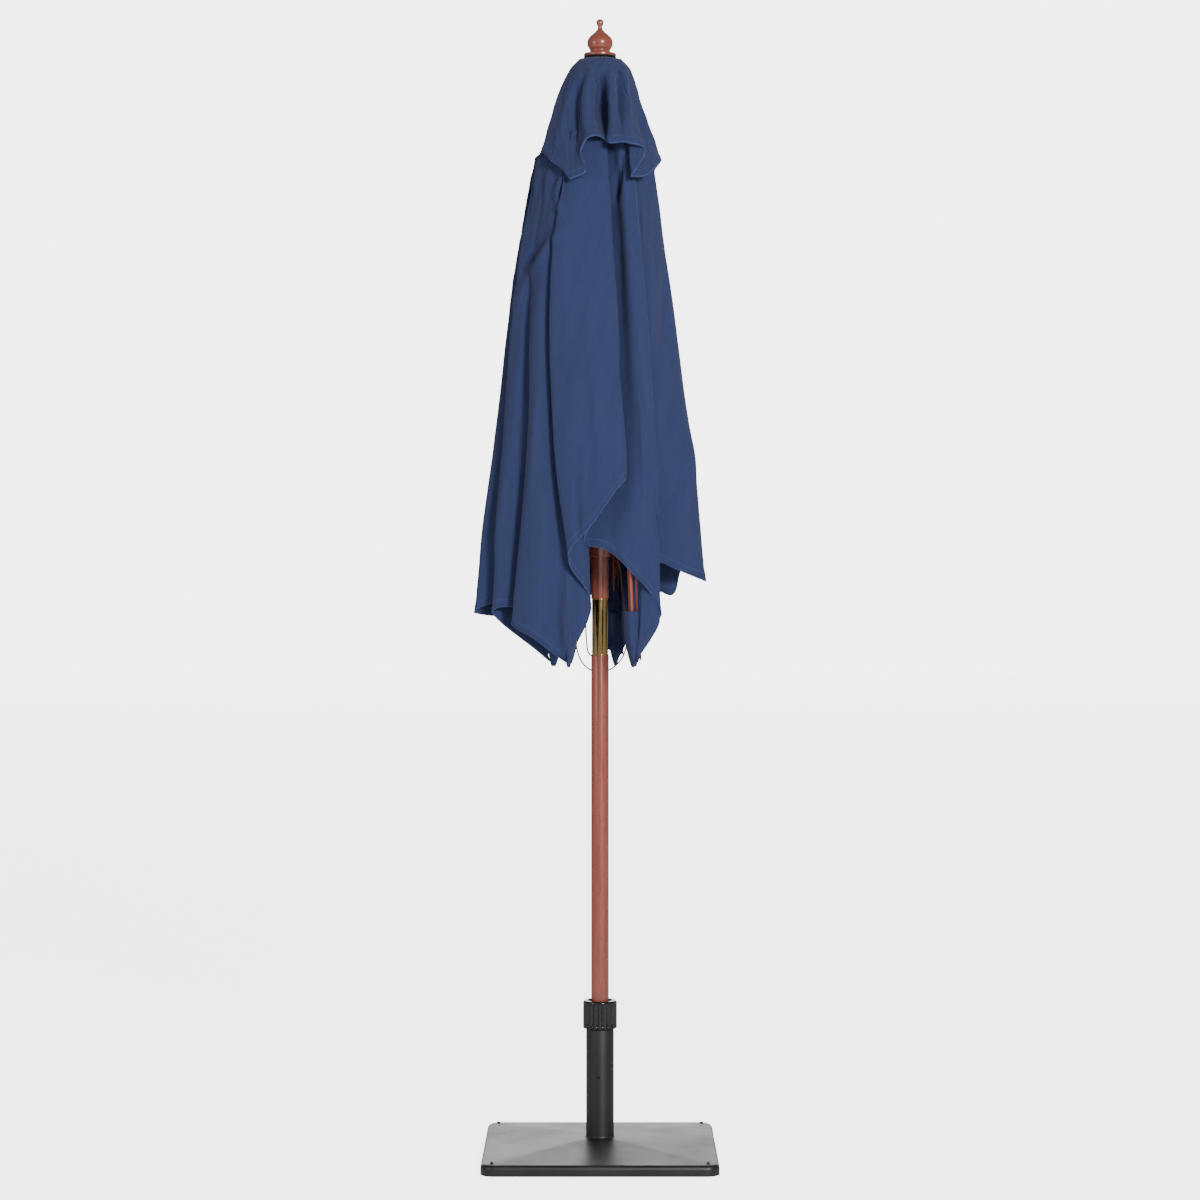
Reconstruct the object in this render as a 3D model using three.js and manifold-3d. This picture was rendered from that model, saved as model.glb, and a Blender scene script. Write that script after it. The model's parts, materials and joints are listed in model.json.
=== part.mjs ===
// Centre-pole patio umbrella, closed, standing in a weighted square base.
// Units are millimetres, +Z is up, the origin is on the floor under the pole's axis.
import * as THREE from 'three';
import { mergeVertices } from 'three/addons/utils/BufferGeometryUtils.js';
import Module from 'manifold-3d';

const wasm = await Module();
wasm.setup();

// ---------------------------------------------------------------- driving dimensions
const GAP = 0.3; // between pieces that touch

// base
const plateSide = 500;
const plateCornerRadius = 30;
const plateEdgeHeight = 23;
const plateEdgeRound = 10;
const plateRise = 14; // of the shallow pyramid on top
const crownHalf = 42; // half side of the pyramid's small flat top
const coverWall = 2;
const footHeight = 3; // that shows below the cover
const footRadius = 22;
const footInset = 60; // foot centre from the plate's edge
const coverScrewInset = 24;
const coverScrewRadius = 2.2;
const coverScrewLength = 16;

// base tube, its clamp and fixings
const tubeRadius = 30;
const tubeWall = 2.5;
const tubeHeight = 260;
const tubeFloor = 6;
const boltRadius = 5;
const boltHeadRadius = 9;
const boltHeadHeight = 7;
const nutHeight = 8;
const collarRadius = 36.5;
const collarHeight = 60;
const collarOverlap = 25; // down over the tube
const collarFlutes = 20;
const collarFluteRadius = 2.1;
const collarFluteOut = 0.8; // a flute's centre outside the collar
const collarEdge = 2; // chamfer
const collarMouthOffPole = 7.5;
const colletFlangeRadius = 29.2;
const colletConeOffPole = 5.2;
const colletBelow = 50; // inside the tube
const colletAbove = 16; // above the tube's end
const colletFlange = 4;
const colletSplit = 3;
const colletSplitStart = 12; // above the sleeve's lower end
const tubeScrewHeight = 172;
const tubeScrewRadius = 3;
const tubeScrewTurn = -8; // degrees from the front

// pole
const poleRadius = 19;
const poleSlide = 0.4; // clearance of what slides on the pole
const poleBottom = 62;
const jointHeight = 1140; // where the two halves meet
const ferruleLength = 122;
const ferruleRadius = 18;
const ferruleWall = 1.3;
const poleTop = 2350;
const poleShoulder = 3; // chamfer on the foot of the pole

// hub, ribs and stretchers
const hubPivotHeight = 2317;
const hubPivotOffPole = 27; // rib pivots outside the pole
const hubOffPole = 32;
const hubBelowPivot = 26;
const hubCapHeight = 8;
const hubRingRadius = 2;
const ribSlotSide = 0.5; // clearance beside a rib or stretcher in its slot
const ribWidth = 14;
const ribDepth = 24;
const ribLength = 1250;
const ribTipNotch = [40, 5]; // length and depth of the step that the cloth's pocket sits in
const ribAzimuths = [-30, 30, 90, 150, 210, 270]; // degrees from the front, anticlockwise from above
const ribClosedAngles = [4.0, 4.3, 1.3, 1.0, 3.8, 2.5]; // degrees from vertical
const bracketAlong = 440; // stretcher pivot, down the rib from the hub pivot
const bracketSheet = 2;
const bracketLength = 60;
const bracketPlay = 0.7; // between bracket and stretcher
const cheekHalf = 12; // half the length of a bracket's cheek
const cheekPastPivot = 6.5;
const rivetRadius = 3;
const stretcherWidth = 13;
const stretcherDepth = 16;
const stretcherLength = 510; // between its two pivots
const runnerPivotOffPole = 15; // stretcher pivots outside the pole
const runnerPivotHeight = 1366.5;
const runnerOffPole = 26;
const runnerWall = 5;
const runnerCrownAbove = 12;
const runnerCrownBelow = 22;
const runnerHeight = 88;

// pulley and cord
const cordRadius = 1.6;
const pulleyHeight = 2215;
const pulleyBeyondPole = 5.4; // the pulley's rim outside the pole
const pulleyGroove = 4.5;
const cordBelowRim = 1.2; // cord's centre below the pulley's rim
const sheaveSide = 0.5; // clearance beside the pulley in the pole's slot
const sheaveEnd = 2; // clearance round its rim
const pulleyWidth = 7;
const pulleyPinRadius = 3;
const cordAzimuth = -60; // side of the pole that the free end hangs on
const cordChannel = 8; // width of the runner's cord channel
const loopedPole = 19; // pole radius that the cord's loops are laid out for

// finial
const flangeRadius = 35;
const flangeHeight = 7;
const washerHeight = 2;
const finialBottom = 2362.3;
const finialRodRadius = 4;
const finialRodBelow = 60;
const finialRodAbove = 20;

// canopy, hanging closed
const clothThickness = 2;
const clothOffRib = 1.5;
const goreTop = 2150;
const goreTopRadius = 106;
const goreBulges = [150, 205, 190, 165, 238, 242]; // mid-gore radius at the hem
const goreHemRises = [165, 125, 110, 120, 110, 108]; // mid-gore hem above the rib tips
const capProfile = [
  [24, 2359.6], [50, 2357], [62, 2345], [68, 2328], [89, 2262], [113, 2180], [132, 2112]];

// ---------------------------------------------------------------- worked out from them
const rad = THREE.MathUtils.degToRad;
const plateHalf = plateSide / 2;
const crownTop = footHeight + plateEdgeHeight + plateRise;
const tubeBottom = crownTop + GAP;
const tubeTop = tubeBottom + tubeHeight;
const tubeBore = tubeRadius - tubeWall;
const poleBore = poleRadius + poleSlide;
const collarMouthRadius = poleRadius + collarMouthOffPole;
const colletConeRadius = poleRadius + colletConeOffPole;
const hubPivotRadius = poleRadius + hubPivotOffPole;
const hubRadius = poleRadius + hubOffPole;
const runnerPivotRadius = poleRadius + runnerPivotOffPole;
const runnerRadius = poleRadius + runnerOffPole;
const ferruleBore = ferruleRadius - ferruleWall;
const tenonRadius = ferruleBore - GAP;
const ferruleBottom = jointHeight - ferruleLength / 2;
const ferruleTop = jointHeight + ferruleLength / 2;
const bracketDrop = ribDepth / 2 + GAP + bracketSheet + bracketPlay + stretcherDepth / 2; // pivot to rib
const slotWidth = ribWidth + 2 * ribSlotSide;
const stretcherSlot = stretcherWidth + 2 * ribSlotSide + GAP;
const ribCount = ribAzimuths.length;
const pulleyRadius = poleRadius + pulleyBeyondPole;
const cordLineRadius = pulleyRadius - cordBelowRim;
const runnerTop = runnerPivotHeight + runnerCrownAbove;
const runnerBottom = runnerTop - runnerHeight;
const hubTop = poleTop;

// ---------------------------------------------------------------- solids
function toSolid(geometry) {
  const bare = geometry.clone();
  bare.deleteAttribute('normal');
  bare.deleteAttribute('uv');
  const merged = mergeVertices(bare, 1e-4);
  return new wasm.Manifold(new wasm.Mesh({
    numProp: 3,
    vertProperties: Float32Array.from(merged.attributes.position.array),
    triVerts: Uint32Array.from(merged.index.array),
  }));
}

function toGeometry(solid) {
  const mesh = solid.getMesh();
  const geometry = new THREE.BufferGeometry();
  geometry.setAttribute('position', new THREE.BufferAttribute(Float32Array.from(mesh.vertProperties), 3));
  geometry.setIndex(new THREE.BufferAttribute(Uint32Array.from(mesh.triVerts), 1));
  return geometry;
}

const join = (...parts) => toGeometry(parts.map(toSolid).reduce((a, b) => a.add(b)));
const cut = (body, ...tools) => toGeometry(tools.map(toSolid).reduce((a, b) => a.subtract(b), toSolid(body)));

/** A round bar between two points. */
function bar(radius, from, to, sides = 24) {
  const a = new THREE.Vector3(...from);
  const b = new THREE.Vector3(...to);
  const along = b.clone().sub(a);
  const geometry = new THREE.CylinderGeometry(radius, radius, along.length(), sides);
  const upright = new THREE.Vector3(0, 1, 0);
  geometry.applyQuaternion(new THREE.Quaternion().setFromUnitVectors(upright, along.clone().normalize()));
  return geometry.translate(...a.add(b).multiplyScalar(0.5).toArray());
}

/** An upright round bar on the pole's axis or at x, y. */
const post = (radius, bottom, top, sides = 32, x = 0, y = 0) => bar(
  radius, [x, y, bottom], [x, y, top], sides);

/** A box given by its low and high corners. */
function block(low, high) {
  const size = high.map((v, k) => v - low[k]);
  const centre = high.map((v, k) => (v + low[k]) / 2);
  return new THREE.BoxGeometry(...size).translate(...centre);
}

/** A turned solid from [radius, height] pairs. */
function turned(profile, sides = 32) {
  const points = profile.map(([r, z]) => new THREE.Vector2(r, z));
  return new THREE.LatheGeometry(points, sides).rotateX(Math.PI / 2);
}

/** A closed solid from rings of points, each ring with as many points, and a fan at each end. */
function lofted(rings) {
  const count = rings[0].length;
  const points = rings.flat();
  const triangles = [];
  for (let k = 0; k + 1 < rings.length; k += 1) {
    for (let j = 0; j < count; j += 1) {
      const a = k * count + j;
      const b = k * count + (j + 1) % count;
      triangles.push(a, b, b + count, a, b + count, a + count);
    }
  }
  for (const [ring, first] of [[rings[0], 0], [rings.at(-1), (rings.length - 1) * count]]) {
    const centre = points.length;
    points.push([0, 1, 2].map((k) => ring.reduce((sum, p) => sum + p[k], 0) / count));
    for (let j = 0; j < count; j += 1) {
      const edge = [first + j, first + (j + 1) % count];
      triangles.push(centre, ...(first === 0 ? edge.reverse() : edge));
    }
  }
  const geometry = new THREE.BufferGeometry();
  geometry.setAttribute('position', new THREE.BufferAttribute(Float32Array.from(points.flat()), 3));
  geometry.setIndex(triangles);
  return geometry;
}

// ---------------------------------------------------------------- the assembly
const umbrella = new THREE.Group();

const finishes = {
  blackSteel: { color: '#2b2c30', roughness: 0.5, metalness: 0.3 },
  concrete: { color: '#8d8a84', roughness: 0.95, metalness: 0 },
  rubber: { color: '#18181a', roughness: 0.9, metalness: 0 },
  blackPlastic: { color: '#141416', roughness: 0.35, metalness: 0 },
  steel: { color: '#9a9ca0', roughness: 0.35, metalness: 1 },
  wood: { color: '#97513f', roughness: 0.45, metalness: 0 },
  brass: { color: '#c9a557', roughness: 0.15, metalness: 1 },
  cord: { color: '#6d3b33', roughness: 0.9, metalness: 0 },
  cloth: { color: '#2f4072', roughness: 0.95, metalness: 0 },
};

function add(name, finish, geometry, parent = umbrella) {
  const mesh = new THREE.Mesh(geometry, new THREE.MeshStandardMaterial(finishes[finish]));
  mesh.name = name;
  parent.add(mesh);
}

// ---------------------------------------------------------------- base
/** One ring of the plate's rounded square outline. */
function squareRing(half, corner, z) {
  const turns = 5;
  const ring = [];
  for (let side = 0; side < 4; side += 1) {
    for (let k = 0; k <= turns; k += 1) {
      const angle = (side + k / turns) * Math.PI / 2;
      const centre = half - corner;
      const sx = [1, -1, -1, 1][side];
      const sy = [1, 1, -1, -1][side];
      ring.push([sx * centre + corner * Math.cos(angle), sy * centre + corner * Math.sin(angle), z]);
    }
  }
  return ring;
}

/** The plate's outer form, drawn in by inset all over. */
function plateForm(inset, bottom) {
  const rings = [squareRing(plateHalf - inset, plateCornerRadius - inset, bottom)];
  const edgeTop = footHeight + plateEdgeHeight;
  const steps = 3;
  for (let k = 0; k <= steps; k += 1) {
    const angle = (k / steps) * Math.PI / 2;
    const round = plateEdgeRound - inset;
    const half = plateHalf - plateEdgeRound + round * Math.cos(angle);
    const corner = plateCornerRadius - plateEdgeRound + round * Math.cos(angle);
    rings.push(squareRing(half, corner, edgeTop - plateEdgeRound + round * Math.sin(angle)));
  }
  rings.push(squareRing(crownHalf, 6, crownTop - inset));
  return lofted(rings);
}

const screwPlace = plateHalf - coverScrewInset;
const corners = [[-1, -1], [1, -1], [1, 1], [-1, 1]];
const screwSeat = footHeight + plateEdgeHeight + plateRise * coverScrewInset / plateHalf;
const ballastBottom = footHeight + coverWall;
const ballastInset = coverWall + GAP;
const screwHoles = corners.map(([x, y]) => post(
  coverScrewRadius + GAP, screwSeat - coverScrewLength - 1, crownTop, 12, x * screwPlace, y * screwPlace));
const boltHole = post(boltRadius + GAP, 0, crownTop + 1);

add('base_cover', 'blackSteel', cut(
  plateForm(0, footHeight), plateForm(coverWall, footHeight - 5), boltHole, ...screwHoles));
add('base_ballast', 'concrete', cut(
  plateForm(ballastInset, ballastBottom), boltHole,
  post(boltHeadRadius + 3, 0, ballastBottom + boltHeadHeight + 3), ...screwHoles));

corners.forEach(([x, y], k) => {
  const place = plateHalf - footInset;
  add(`base_foot_${k + 1}`, 'rubber', post(
    footRadius, 0, ballastBottom - GAP, 16, x * place, y * place));
  const at = [x * screwPlace, y * screwPlace];
  const head = turned([[0, 0], [coverScrewRadius * 2, 0], [coverScrewRadius * 1.9, 1.2],
    [coverScrewRadius, 2], [0, 2.2]], 12).translate(...at, screwSeat + 0.6);
  add(`cover_screw_${k + 1}`, 'steel', join(
    head, post(coverScrewRadius, screwSeat - coverScrewLength, screwSeat + 1, 8, ...at)));
});

// ---------------------------------------------------------------- base tube and clamp
const tubeScrewAt = rad(tubeScrewTurn - 90);
const screwLine = (from, to, radius) => bar(
  radius, [from * Math.cos(tubeScrewAt), from * Math.sin(tubeScrewAt), tubeScrewHeight],
  [to * Math.cos(tubeScrewAt), to * Math.sin(tubeScrewAt), tubeScrewHeight], 16);
add('base_tube', 'blackSteel', cut(
  post(tubeRadius, tubeBottom, tubeTop, 32), post(tubeBore, tubeBottom + tubeFloor, tubeTop + 1, 32),
  post(boltRadius + GAP, tubeBottom - 1, tubeBottom + tubeFloor + 1),
  screwLine(0, tubeRadius + 5, tubeScrewRadius + GAP)));
add('tube_screw', 'steel', screwLine(poleRadius + 1, tubeRadius + 0.8, tubeScrewRadius));

const boltHeadTop = ballastBottom + boltHeadHeight + 2;
const nutBottom = tubeBottom + tubeFloor + GAP;
add('tube_bolt', 'steel', join(
  post(boltHeadRadius, boltHeadTop - boltHeadHeight, boltHeadTop, 6),
  post(boltRadius, boltHeadTop - 1, nutBottom + nutHeight - 1, 20)));
add('tube_nut', 'steel', cut(
  post(boltHeadRadius, nutBottom, nutBottom + nutHeight, 6),
  post(boltRadius + GAP, nutBottom - 1, nutBottom + nutHeight + 1, 20)));

const collarBottom = tubeTop - collarOverlap;
const collarTop = collarBottom + collarHeight;
const flutes = Array.from({ length: collarFlutes }, (_, k) => {
  const angle = (k + 0.5) * 2 * Math.PI / collarFlutes;
  const out = collarRadius + collarFluteOut;
  const [x, y] = [out * Math.cos(angle), out * Math.sin(angle)];
  return post(collarFluteRadius, collarBottom - 1, collarTop + 1, 6, x, y);
});
const collarBore = tubeRadius + GAP + 0.1;
add('clamp_collar', 'blackPlastic', cut(
  turned([[0, collarBottom], [collarRadius - collarEdge, collarBottom],
    [collarRadius, collarBottom + collarEdge], [collarRadius, collarTop - collarEdge],
    [collarRadius - collarEdge, collarTop], [0, collarTop]], 40),
  post(collarBore, collarBottom - 1, tubeTop + 6, 32),
  post(collarMouthRadius, collarBottom, collarTop + 1, 32), ...flutes));

add('collet_sleeve', 'blackPlastic', cut(
  turned([[poleBore, tubeTop - colletBelow], [tubeBore - GAP, tubeTop - colletBelow],
    [tubeBore - GAP, tubeTop + GAP], [colletFlangeRadius, tubeTop + GAP],
    [colletFlangeRadius, tubeTop + colletFlange],
    [colletConeRadius, tubeTop + colletFlange + 1], [colletConeRadius - 2, tubeTop + colletAbove],
    [poleBore, tubeTop + colletAbove], [poleBore, tubeTop - colletBelow]], 36),
  block([-colletSplit / 2, 0, tubeTop - colletBelow + colletSplitStart],
    [colletSplit / 2, tubeRadius + 10, tubeTop + colletAbove + 1])));

// ---------------------------------------------------------------- pole
add('lower_pole', 'wood', turned([
  [0, poleBottom], [poleRadius - poleShoulder, poleBottom], [poleRadius, poleBottom + poleShoulder],
  [poleRadius, ferruleBottom - GAP], [tenonRadius, ferruleBottom - GAP],
  [tenonRadius, jointHeight - GAP], [0, jointHeight - GAP]], 32));
add('ferrule', 'brass', cut(
  post(ferruleRadius, ferruleBottom, ferruleTop, 32),
  post(ferruleBore, ferruleBottom - 1, ferruleTop + 1, 32)));

const cordLine = rad(cordAzimuth - 90);
const [slotLong, slotHalf] = [pulleyRadius + sheaveEnd, pulleyWidth / 2 + sheaveSide];
const sheaveSlot = block([-slotLong, -slotHalf, pulleyHeight - slotLong],
  [slotLong, slotHalf, pulleyHeight + slotLong]).rotateZ(cordLine);
const across = (length, radius) => bar(
  radius, [0, -length / 2, pulleyHeight], [0, length / 2, pulleyHeight], 16).rotateZ(cordLine);
add('upper_pole', 'wood', cut(
  turned([[0, jointHeight + GAP], [tenonRadius, jointHeight + GAP], [tenonRadius, ferruleTop + GAP],
    [poleRadius, ferruleTop + GAP], [poleRadius, poleTop], [0, poleTop]], 32),
  sheaveSlot, across(2 * poleRadius + 4, pulleyPinRadius + GAP),
  post(finialRodRadius + GAP, poleTop - finialRodBelow - 1, poleTop + 1, 12)));

add('pulley', 'blackPlastic', turned([
  [pulleyPinRadius + GAP, -pulleyWidth / 2], [pulleyRadius, -pulleyWidth / 2],
  [pulleyRadius - pulleyGroove, -pulleyWidth / 6], [pulleyRadius - pulleyGroove, pulleyWidth / 6],
  [pulleyRadius, pulleyWidth / 2], [pulleyPinRadius + GAP, pulleyWidth / 2],
  [pulleyPinRadius + GAP, -pulleyWidth / 2]], 24).rotateX(Math.PI / 2)
  .translate(0, 0, pulleyHeight).rotateZ(cordLine));
add('pulley_pin', 'brass', across(2 * poleRadius - 1, pulleyPinRadius));

// ---------------------------------------------------------------- hub and runner
/** A radial slot at a rib's azimuth. */
const radialSlot = (azimuth, width, inner, bottom, top) => block(
  [inner, -width / 2, bottom], [runnerRadius + 30, width / 2, top]).rotateZ(rad(azimuth - 90));

/** A wire bent to straight sides, one across each rib. */
function bentRing(radius) {
  const corner = hubPivotRadius / Math.cos(Math.PI / ribCount);
  const spot = (azimuth) => {
    const angle = rad(azimuth - 90);
    return [corner * Math.cos(angle), corner * Math.sin(angle), hubPivotHeight];
  };
  const half = 180 / ribCount;
  return join(...ribAzimuths.map((azimuth) => {
    const [from, to] = [azimuth - half, azimuth + half].map((turn) => new THREE.Vector3(...spot(turn)));
    const past = to.clone().sub(from).setLength(radius * 0.5);
    return bar(radius, from.sub(past).toArray(), to.add(past).toArray(), 8);
  }));
}

const hubBottom = hubPivotHeight - hubBelowPivot;
add('top_hub', 'wood', cut(
  turned([[poleRadius + GAP, hubBottom], [hubRadius - 3, hubBottom], [hubRadius, hubBottom + 3],
    [hubRadius, hubTop - 5], [hubRadius - 6, hubTop], [poleRadius + GAP, hubTop],
    [poleRadius + GAP, hubBottom]], 32),
  ...ribAzimuths.map((azimuth) => radialSlot(azimuth, slotWidth, hubPivotRadius - ribDepth / 2 - 1,
    hubBottom - 1, hubTop - hubCapHeight)),
  bentRing(hubRingRadius + GAP)));
add('hub_ring', 'brass', bentRing(hubRingRadius));

const sleeveRadius = poleBore + runnerWall;
const crownBottom = runnerPivotHeight - runnerCrownBelow;
const channel = (azimuth) => block([0, -cordChannel / 2, runnerBottom - 1],
  [cordLineRadius + cordRadius + 1.5, cordChannel / 2, runnerTop + 1]).rotateZ(rad(azimuth - 90));
add('runner', 'wood', cut(
  turned([[poleBore, runnerBottom], [sleeveRadius - 1, runnerBottom], [sleeveRadius, runnerBottom + 2],
    [sleeveRadius, crownBottom], [runnerRadius, crownBottom],
    [runnerRadius, runnerTop - 2], [runnerRadius - 2, runnerTop], [poleBore, runnerTop],
    [poleBore, runnerBottom]], 32),
  ...ribAzimuths.map((azimuth) => radialSlot(azimuth, stretcherSlot, sleeveRadius + 0.4,
    runnerBottom - 1, runnerTop + 1)),
  channel(cordAzimuth)));

// ---------------------------------------------------------------- ribs, brackets and stretchers
const rivetHole = rivetRadius + GAP;
const ribGeometry = cut(
  join(block([-ribDepth / 2, -ribWidth / 2, -ribLength], [ribDepth / 2, ribWidth / 2, 0]),
    bar(ribDepth / 2, [0, -ribWidth / 2, 0], [0, ribWidth / 2, 0], 20)),
  bar(hubRingRadius + GAP + 0.3, [0, -ribWidth, 0], [0, ribWidth, 0], 10),
  block([ribDepth / 2 - ribTipNotch[1], -ribWidth, -ribLength - 1],
    [ribDepth, ribWidth, -ribLength + ribTipNotch[0]]));

const cheekInside = stretcherWidth / 2 + ribSlotSide;
const cheekOutside = cheekInside + bracketSheet;
const bracketBack = ribDepth / 2 + GAP;
const cheeks = [-1, 1].map((side) => {
  const [low, high] = side < 0 ? [-cheekOutside, -cheekInside] : [cheekInside, cheekOutside];
  return join(
    block([-bracketDrop, low, -cheekHalf], [-bracketBack, high, cheekHalf]),
    bar(cheekPastPivot, [-bracketDrop, low, 0], [-bracketDrop, high, 0], 12));
});
const bracketGeometry = join(
  block([-bracketBack - bracketSheet, -cheekOutside, -bracketLength / 2],
    [-bracketBack, cheekOutside, bracketLength / 2]),
  ...cheeks, bar(rivetRadius, [-bracketDrop, -cheekOutside - 1, 0], [-bracketDrop, cheekOutside + 1, 0], 10))
  .translate(0, 0, -bracketAlong);

const endRadius = stretcherDepth / 2;
const stretcherSide = stretcherWidth / 2;
const stretcherGeometry = cut(
  join(block([-endRadius, -stretcherSide, -stretcherLength], [endRadius, stretcherSide, 0]),
    bar(endRadius, [0, -stretcherSide, 0], [0, stretcherSide, 0], 16),
    bar(endRadius, [0, -stretcherSide, -stretcherLength], [0, stretcherSide, -stretcherLength], 16)),
  bar(rivetHole, [0, -stretcherWidth, 0], [0, stretcherWidth, 0], 10),
  bar(hubRingRadius + GAP, [0, -stretcherWidth, -stretcherLength], [0, stretcherWidth, -stretcherLength], 8));

/** How far the stretcher's lower end leans in when the umbrella is closed. */
function stretcherLean(closed) {
  const pivotRadius = hubPivotRadius + bracketAlong * Math.sin(closed) - bracketDrop * Math.cos(closed);
  return Math.asin((pivotRadius - runnerPivotRadius) / stretcherLength);
}

ribAzimuths.forEach((azimuth, k) => {
  const closed = rad(ribClosedAngles[k]);
  const arm = new THREE.Group();
  arm.rotation.z = rad(azimuth - 90);
  umbrella.add(arm);
  const rib = new THREE.Group();
  rib.position.set(hubPivotRadius, 0, hubPivotHeight);
  rib.rotation.y = -closed;
  arm.add(rib);
  const stretcher = new THREE.Group();
  stretcher.position.set(-bracketDrop, 0, -bracketAlong);
  stretcher.rotation.y = closed + stretcherLean(closed);
  rib.add(stretcher);
  add(`rib_${k + 1}`, 'wood', ribGeometry, rib);
  add(`bracket_${k + 1}`, 'brass', bracketGeometry, rib);
  add(`stretcher_${k + 1}`, 'wood', stretcherGeometry, stretcher);
});

// ---------------------------------------------------------------- finial
const onion = [[flangeRadius - 2, 0], [flangeRadius, 2], [flangeRadius - 1, flangeHeight - 2],
  [flangeRadius - 9, flangeHeight], [23, 9], [21.5, 12], [22.5, 15], [25.5, 19], [27.3, 25], [27.5, 30],
  [26, 36], [22, 42], [16, 48], [10, 53], [6, 58], [4.8, 62], [5.2, 65], [7.2, 68], [8, 72], [7, 76], [4, 79],
  [0, 80]];
add('finial', 'wood', cut(
  turned([[0, 0], ...onion].map(([r, z]) => [r, z + finialBottom]), 24),
  post(finialRodRadius + GAP, finialBottom - 1, finialBottom + finialRodAbove + 1, 12)));
const washerBottom = finialBottom - GAP - washerHeight;
add('finial_washer', 'rubber', cut(
  post(flangeRadius, washerBottom, washerBottom + washerHeight, 24),
  post(finialRodRadius + GAP, washerBottom - 1, washerBottom + washerHeight + 1, 12)));
add('finial_rod', 'steel', post(
  finialRodRadius, poleTop - finialRodBelow, finialBottom + finialRodAbove, 12));

// ---------------------------------------------------------------- cord
/** A tube of cord through points, in steps of about the given length. */
function cordTube(points, step) {
  const curve = new THREE.CatmullRomCurve3(points.map((p) => new THREE.Vector3(...p)), false, 'centripetal');
  const section = new THREE.Shape(Array.from({ length: 8 }, (_, k) => new THREE.Vector2(
    cordRadius * Math.cos(k * Math.PI / 4), cordRadius * Math.sin(k * Math.PI / 4))));
  return new THREE.ExtrudeGeometry(section, {
    steps: Math.round(curve.getLength() / step), bevelEnabled: false, extrudePath: curve });
}

const cordSide = (radius, height, side = 1) => [
  side * radius * Math.cos(cordLine), side * radius * Math.sin(cordLine), height];
const overPulley = Array.from({ length: 7 }, (_, k) => {
  const angle = k * Math.PI / 6;
  return cordSide(-cordLineRadius * Math.cos(angle), pulleyHeight + cordLineRadius * Math.sin(angle));
});
add('hoist_line', 'cord', cordTube([
  cordSide(cordLineRadius, runnerTop + GAP, -1), cordSide(cordLineRadius, 1650, -1),
  cordSide(cordLineRadius, 1950, -1), cordSide(cordLineRadius, 2150, -1), ...overPulley], 16));

// The free end hangs beside the pole and loops round it at the ferrule.
const cordLoops = [
  [-28, -14, 1235], [-44, -8, 1175], [-52, 0, 1125], [-48, 8, 1085], [-35, 17, 1058], [-18, 24, 1045],
  [0, 27, 1041], [18, 24, 1045], [38, 14, 1060], [54, -2, 1088], [57, -12, 1125], [53, -16, 1170],
  [47, -18, 1225], [40, -20, 1278], [25, -25, 1314], [2, -30, 1327], [-20, -26, 1314], [-30, -18, 1275],
  [-32, -14, 1220], [-31, -10, 1165], [-29, -3, 1112], [-25, 8, 1084], [-13, 20, 1074], [0, 24, 1071],
  [9, 23, 1079], [9, 23, 1104]];
const offPole = ([x, y, z]) => {
  const out = 1 + (poleRadius - loopedPole) / Math.hypot(x, y);
  return [x * out, y * out, z];
};
const hangs = [pulleyHeight - cordRadius, 2120, 1900, 1640, 1420, 1300].map(
  (z) => cordSide(cordLineRadius, z));
add('pull_cord', 'cord', cordTube([...hangs, ...cordLoops.map(offPole)], 22));

// ---------------------------------------------------------------- canopy, closed
const ribOuter = (k, z) => {
  const closed = rad(ribClosedAngles[k]);
  const down = (hubPivotHeight - z) / Math.cos(closed);
  return hubPivotRadius + down * Math.sin(closed) + ribDepth / 2 / Math.cos(closed) + clothOffRib;
};
const ribTip = (k) => hubPivotHeight - ribLength * Math.cos(rad(ribClosedAngles[k])) + 6;

/** One gore hanging between two ribs, a thin wall with a hem that rises between the tips. */
function hangingGore(k) {
  const next = (k + 1) % ribCount;
  const columns = 12;
  const rows = 8;
  const point = (column, row, depth) => {
    const across01 = column / columns;
    const hang = Math.sin(Math.PI * across01);
    const tip = ribTip(k) + (ribTip(next) - ribTip(k)) * across01;
    const bottom = tip + goreHemRises[k] * hang ** 0.8;
    const z = goreTop + (bottom - goreTop) * row / rows;
    const down = row / rows;
    const straight = ribOuter(k, z) + (ribOuter(next, z) - ribOuter(k, z)) * across01;
    const bulge = goreTopRadius + (goreBulges[k] - goreTopRadius) * down;
    const radius = straight + Math.max(bulge - straight, 0) * hang ** 0.6 + clothThickness - depth;
    const margin = 1.2 / straight;
    const span = 2 * Math.PI / ribCount - 2 * margin;
    const angle = rad(ribAzimuths[k] - 90) + margin + span * across01;
    return [radius * Math.cos(angle), radius * Math.sin(angle), z];
  };
  const rings = [];
  for (let row = 0; row <= rows; row += 1) {
    const outside = Array.from({ length: columns + 1 }, (_, column) => point(column, row, 0));
    const inside = outside.map((_, column) => point(columns - column, row, clothThickness));
    rings.unshift([...outside, ...inside]);
  }
  return walled(rings, columns);
}

/** A thin wall from rings that run out along one face and back along the other. */
function walled(rings, columns) {
  const count = rings[0].length;
  const points = rings.flat().flat();
  const triangles = [];
  for (let k = 0; k + 1 < rings.length; k += 1) {
    for (let j = 0; j < count; j += 1) {
      const a = k * count + j;
      const b = k * count + (j + 1) % count;
      triangles.push(a, b, b + count, a, b + count, a + count);
    }
  }
  const last = (rings.length - 1) * count;
  for (let j = 0; j < columns; j += 1) {
    const [a, b] = [j, j + 1];
    const [c, d] = [count - 2 - j, count - 1 - j];
    triangles.push(a, c, b, a, d, c);
    triangles.push(last + a, last + b, last + c, last + a, last + c, last + d);
  }
  const geometry = new THREE.BufferGeometry();
  geometry.setAttribute('position', new THREE.BufferAttribute(Float32Array.from(points), 3));
  geometry.setIndex(triangles);
  return geometry;
}

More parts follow.
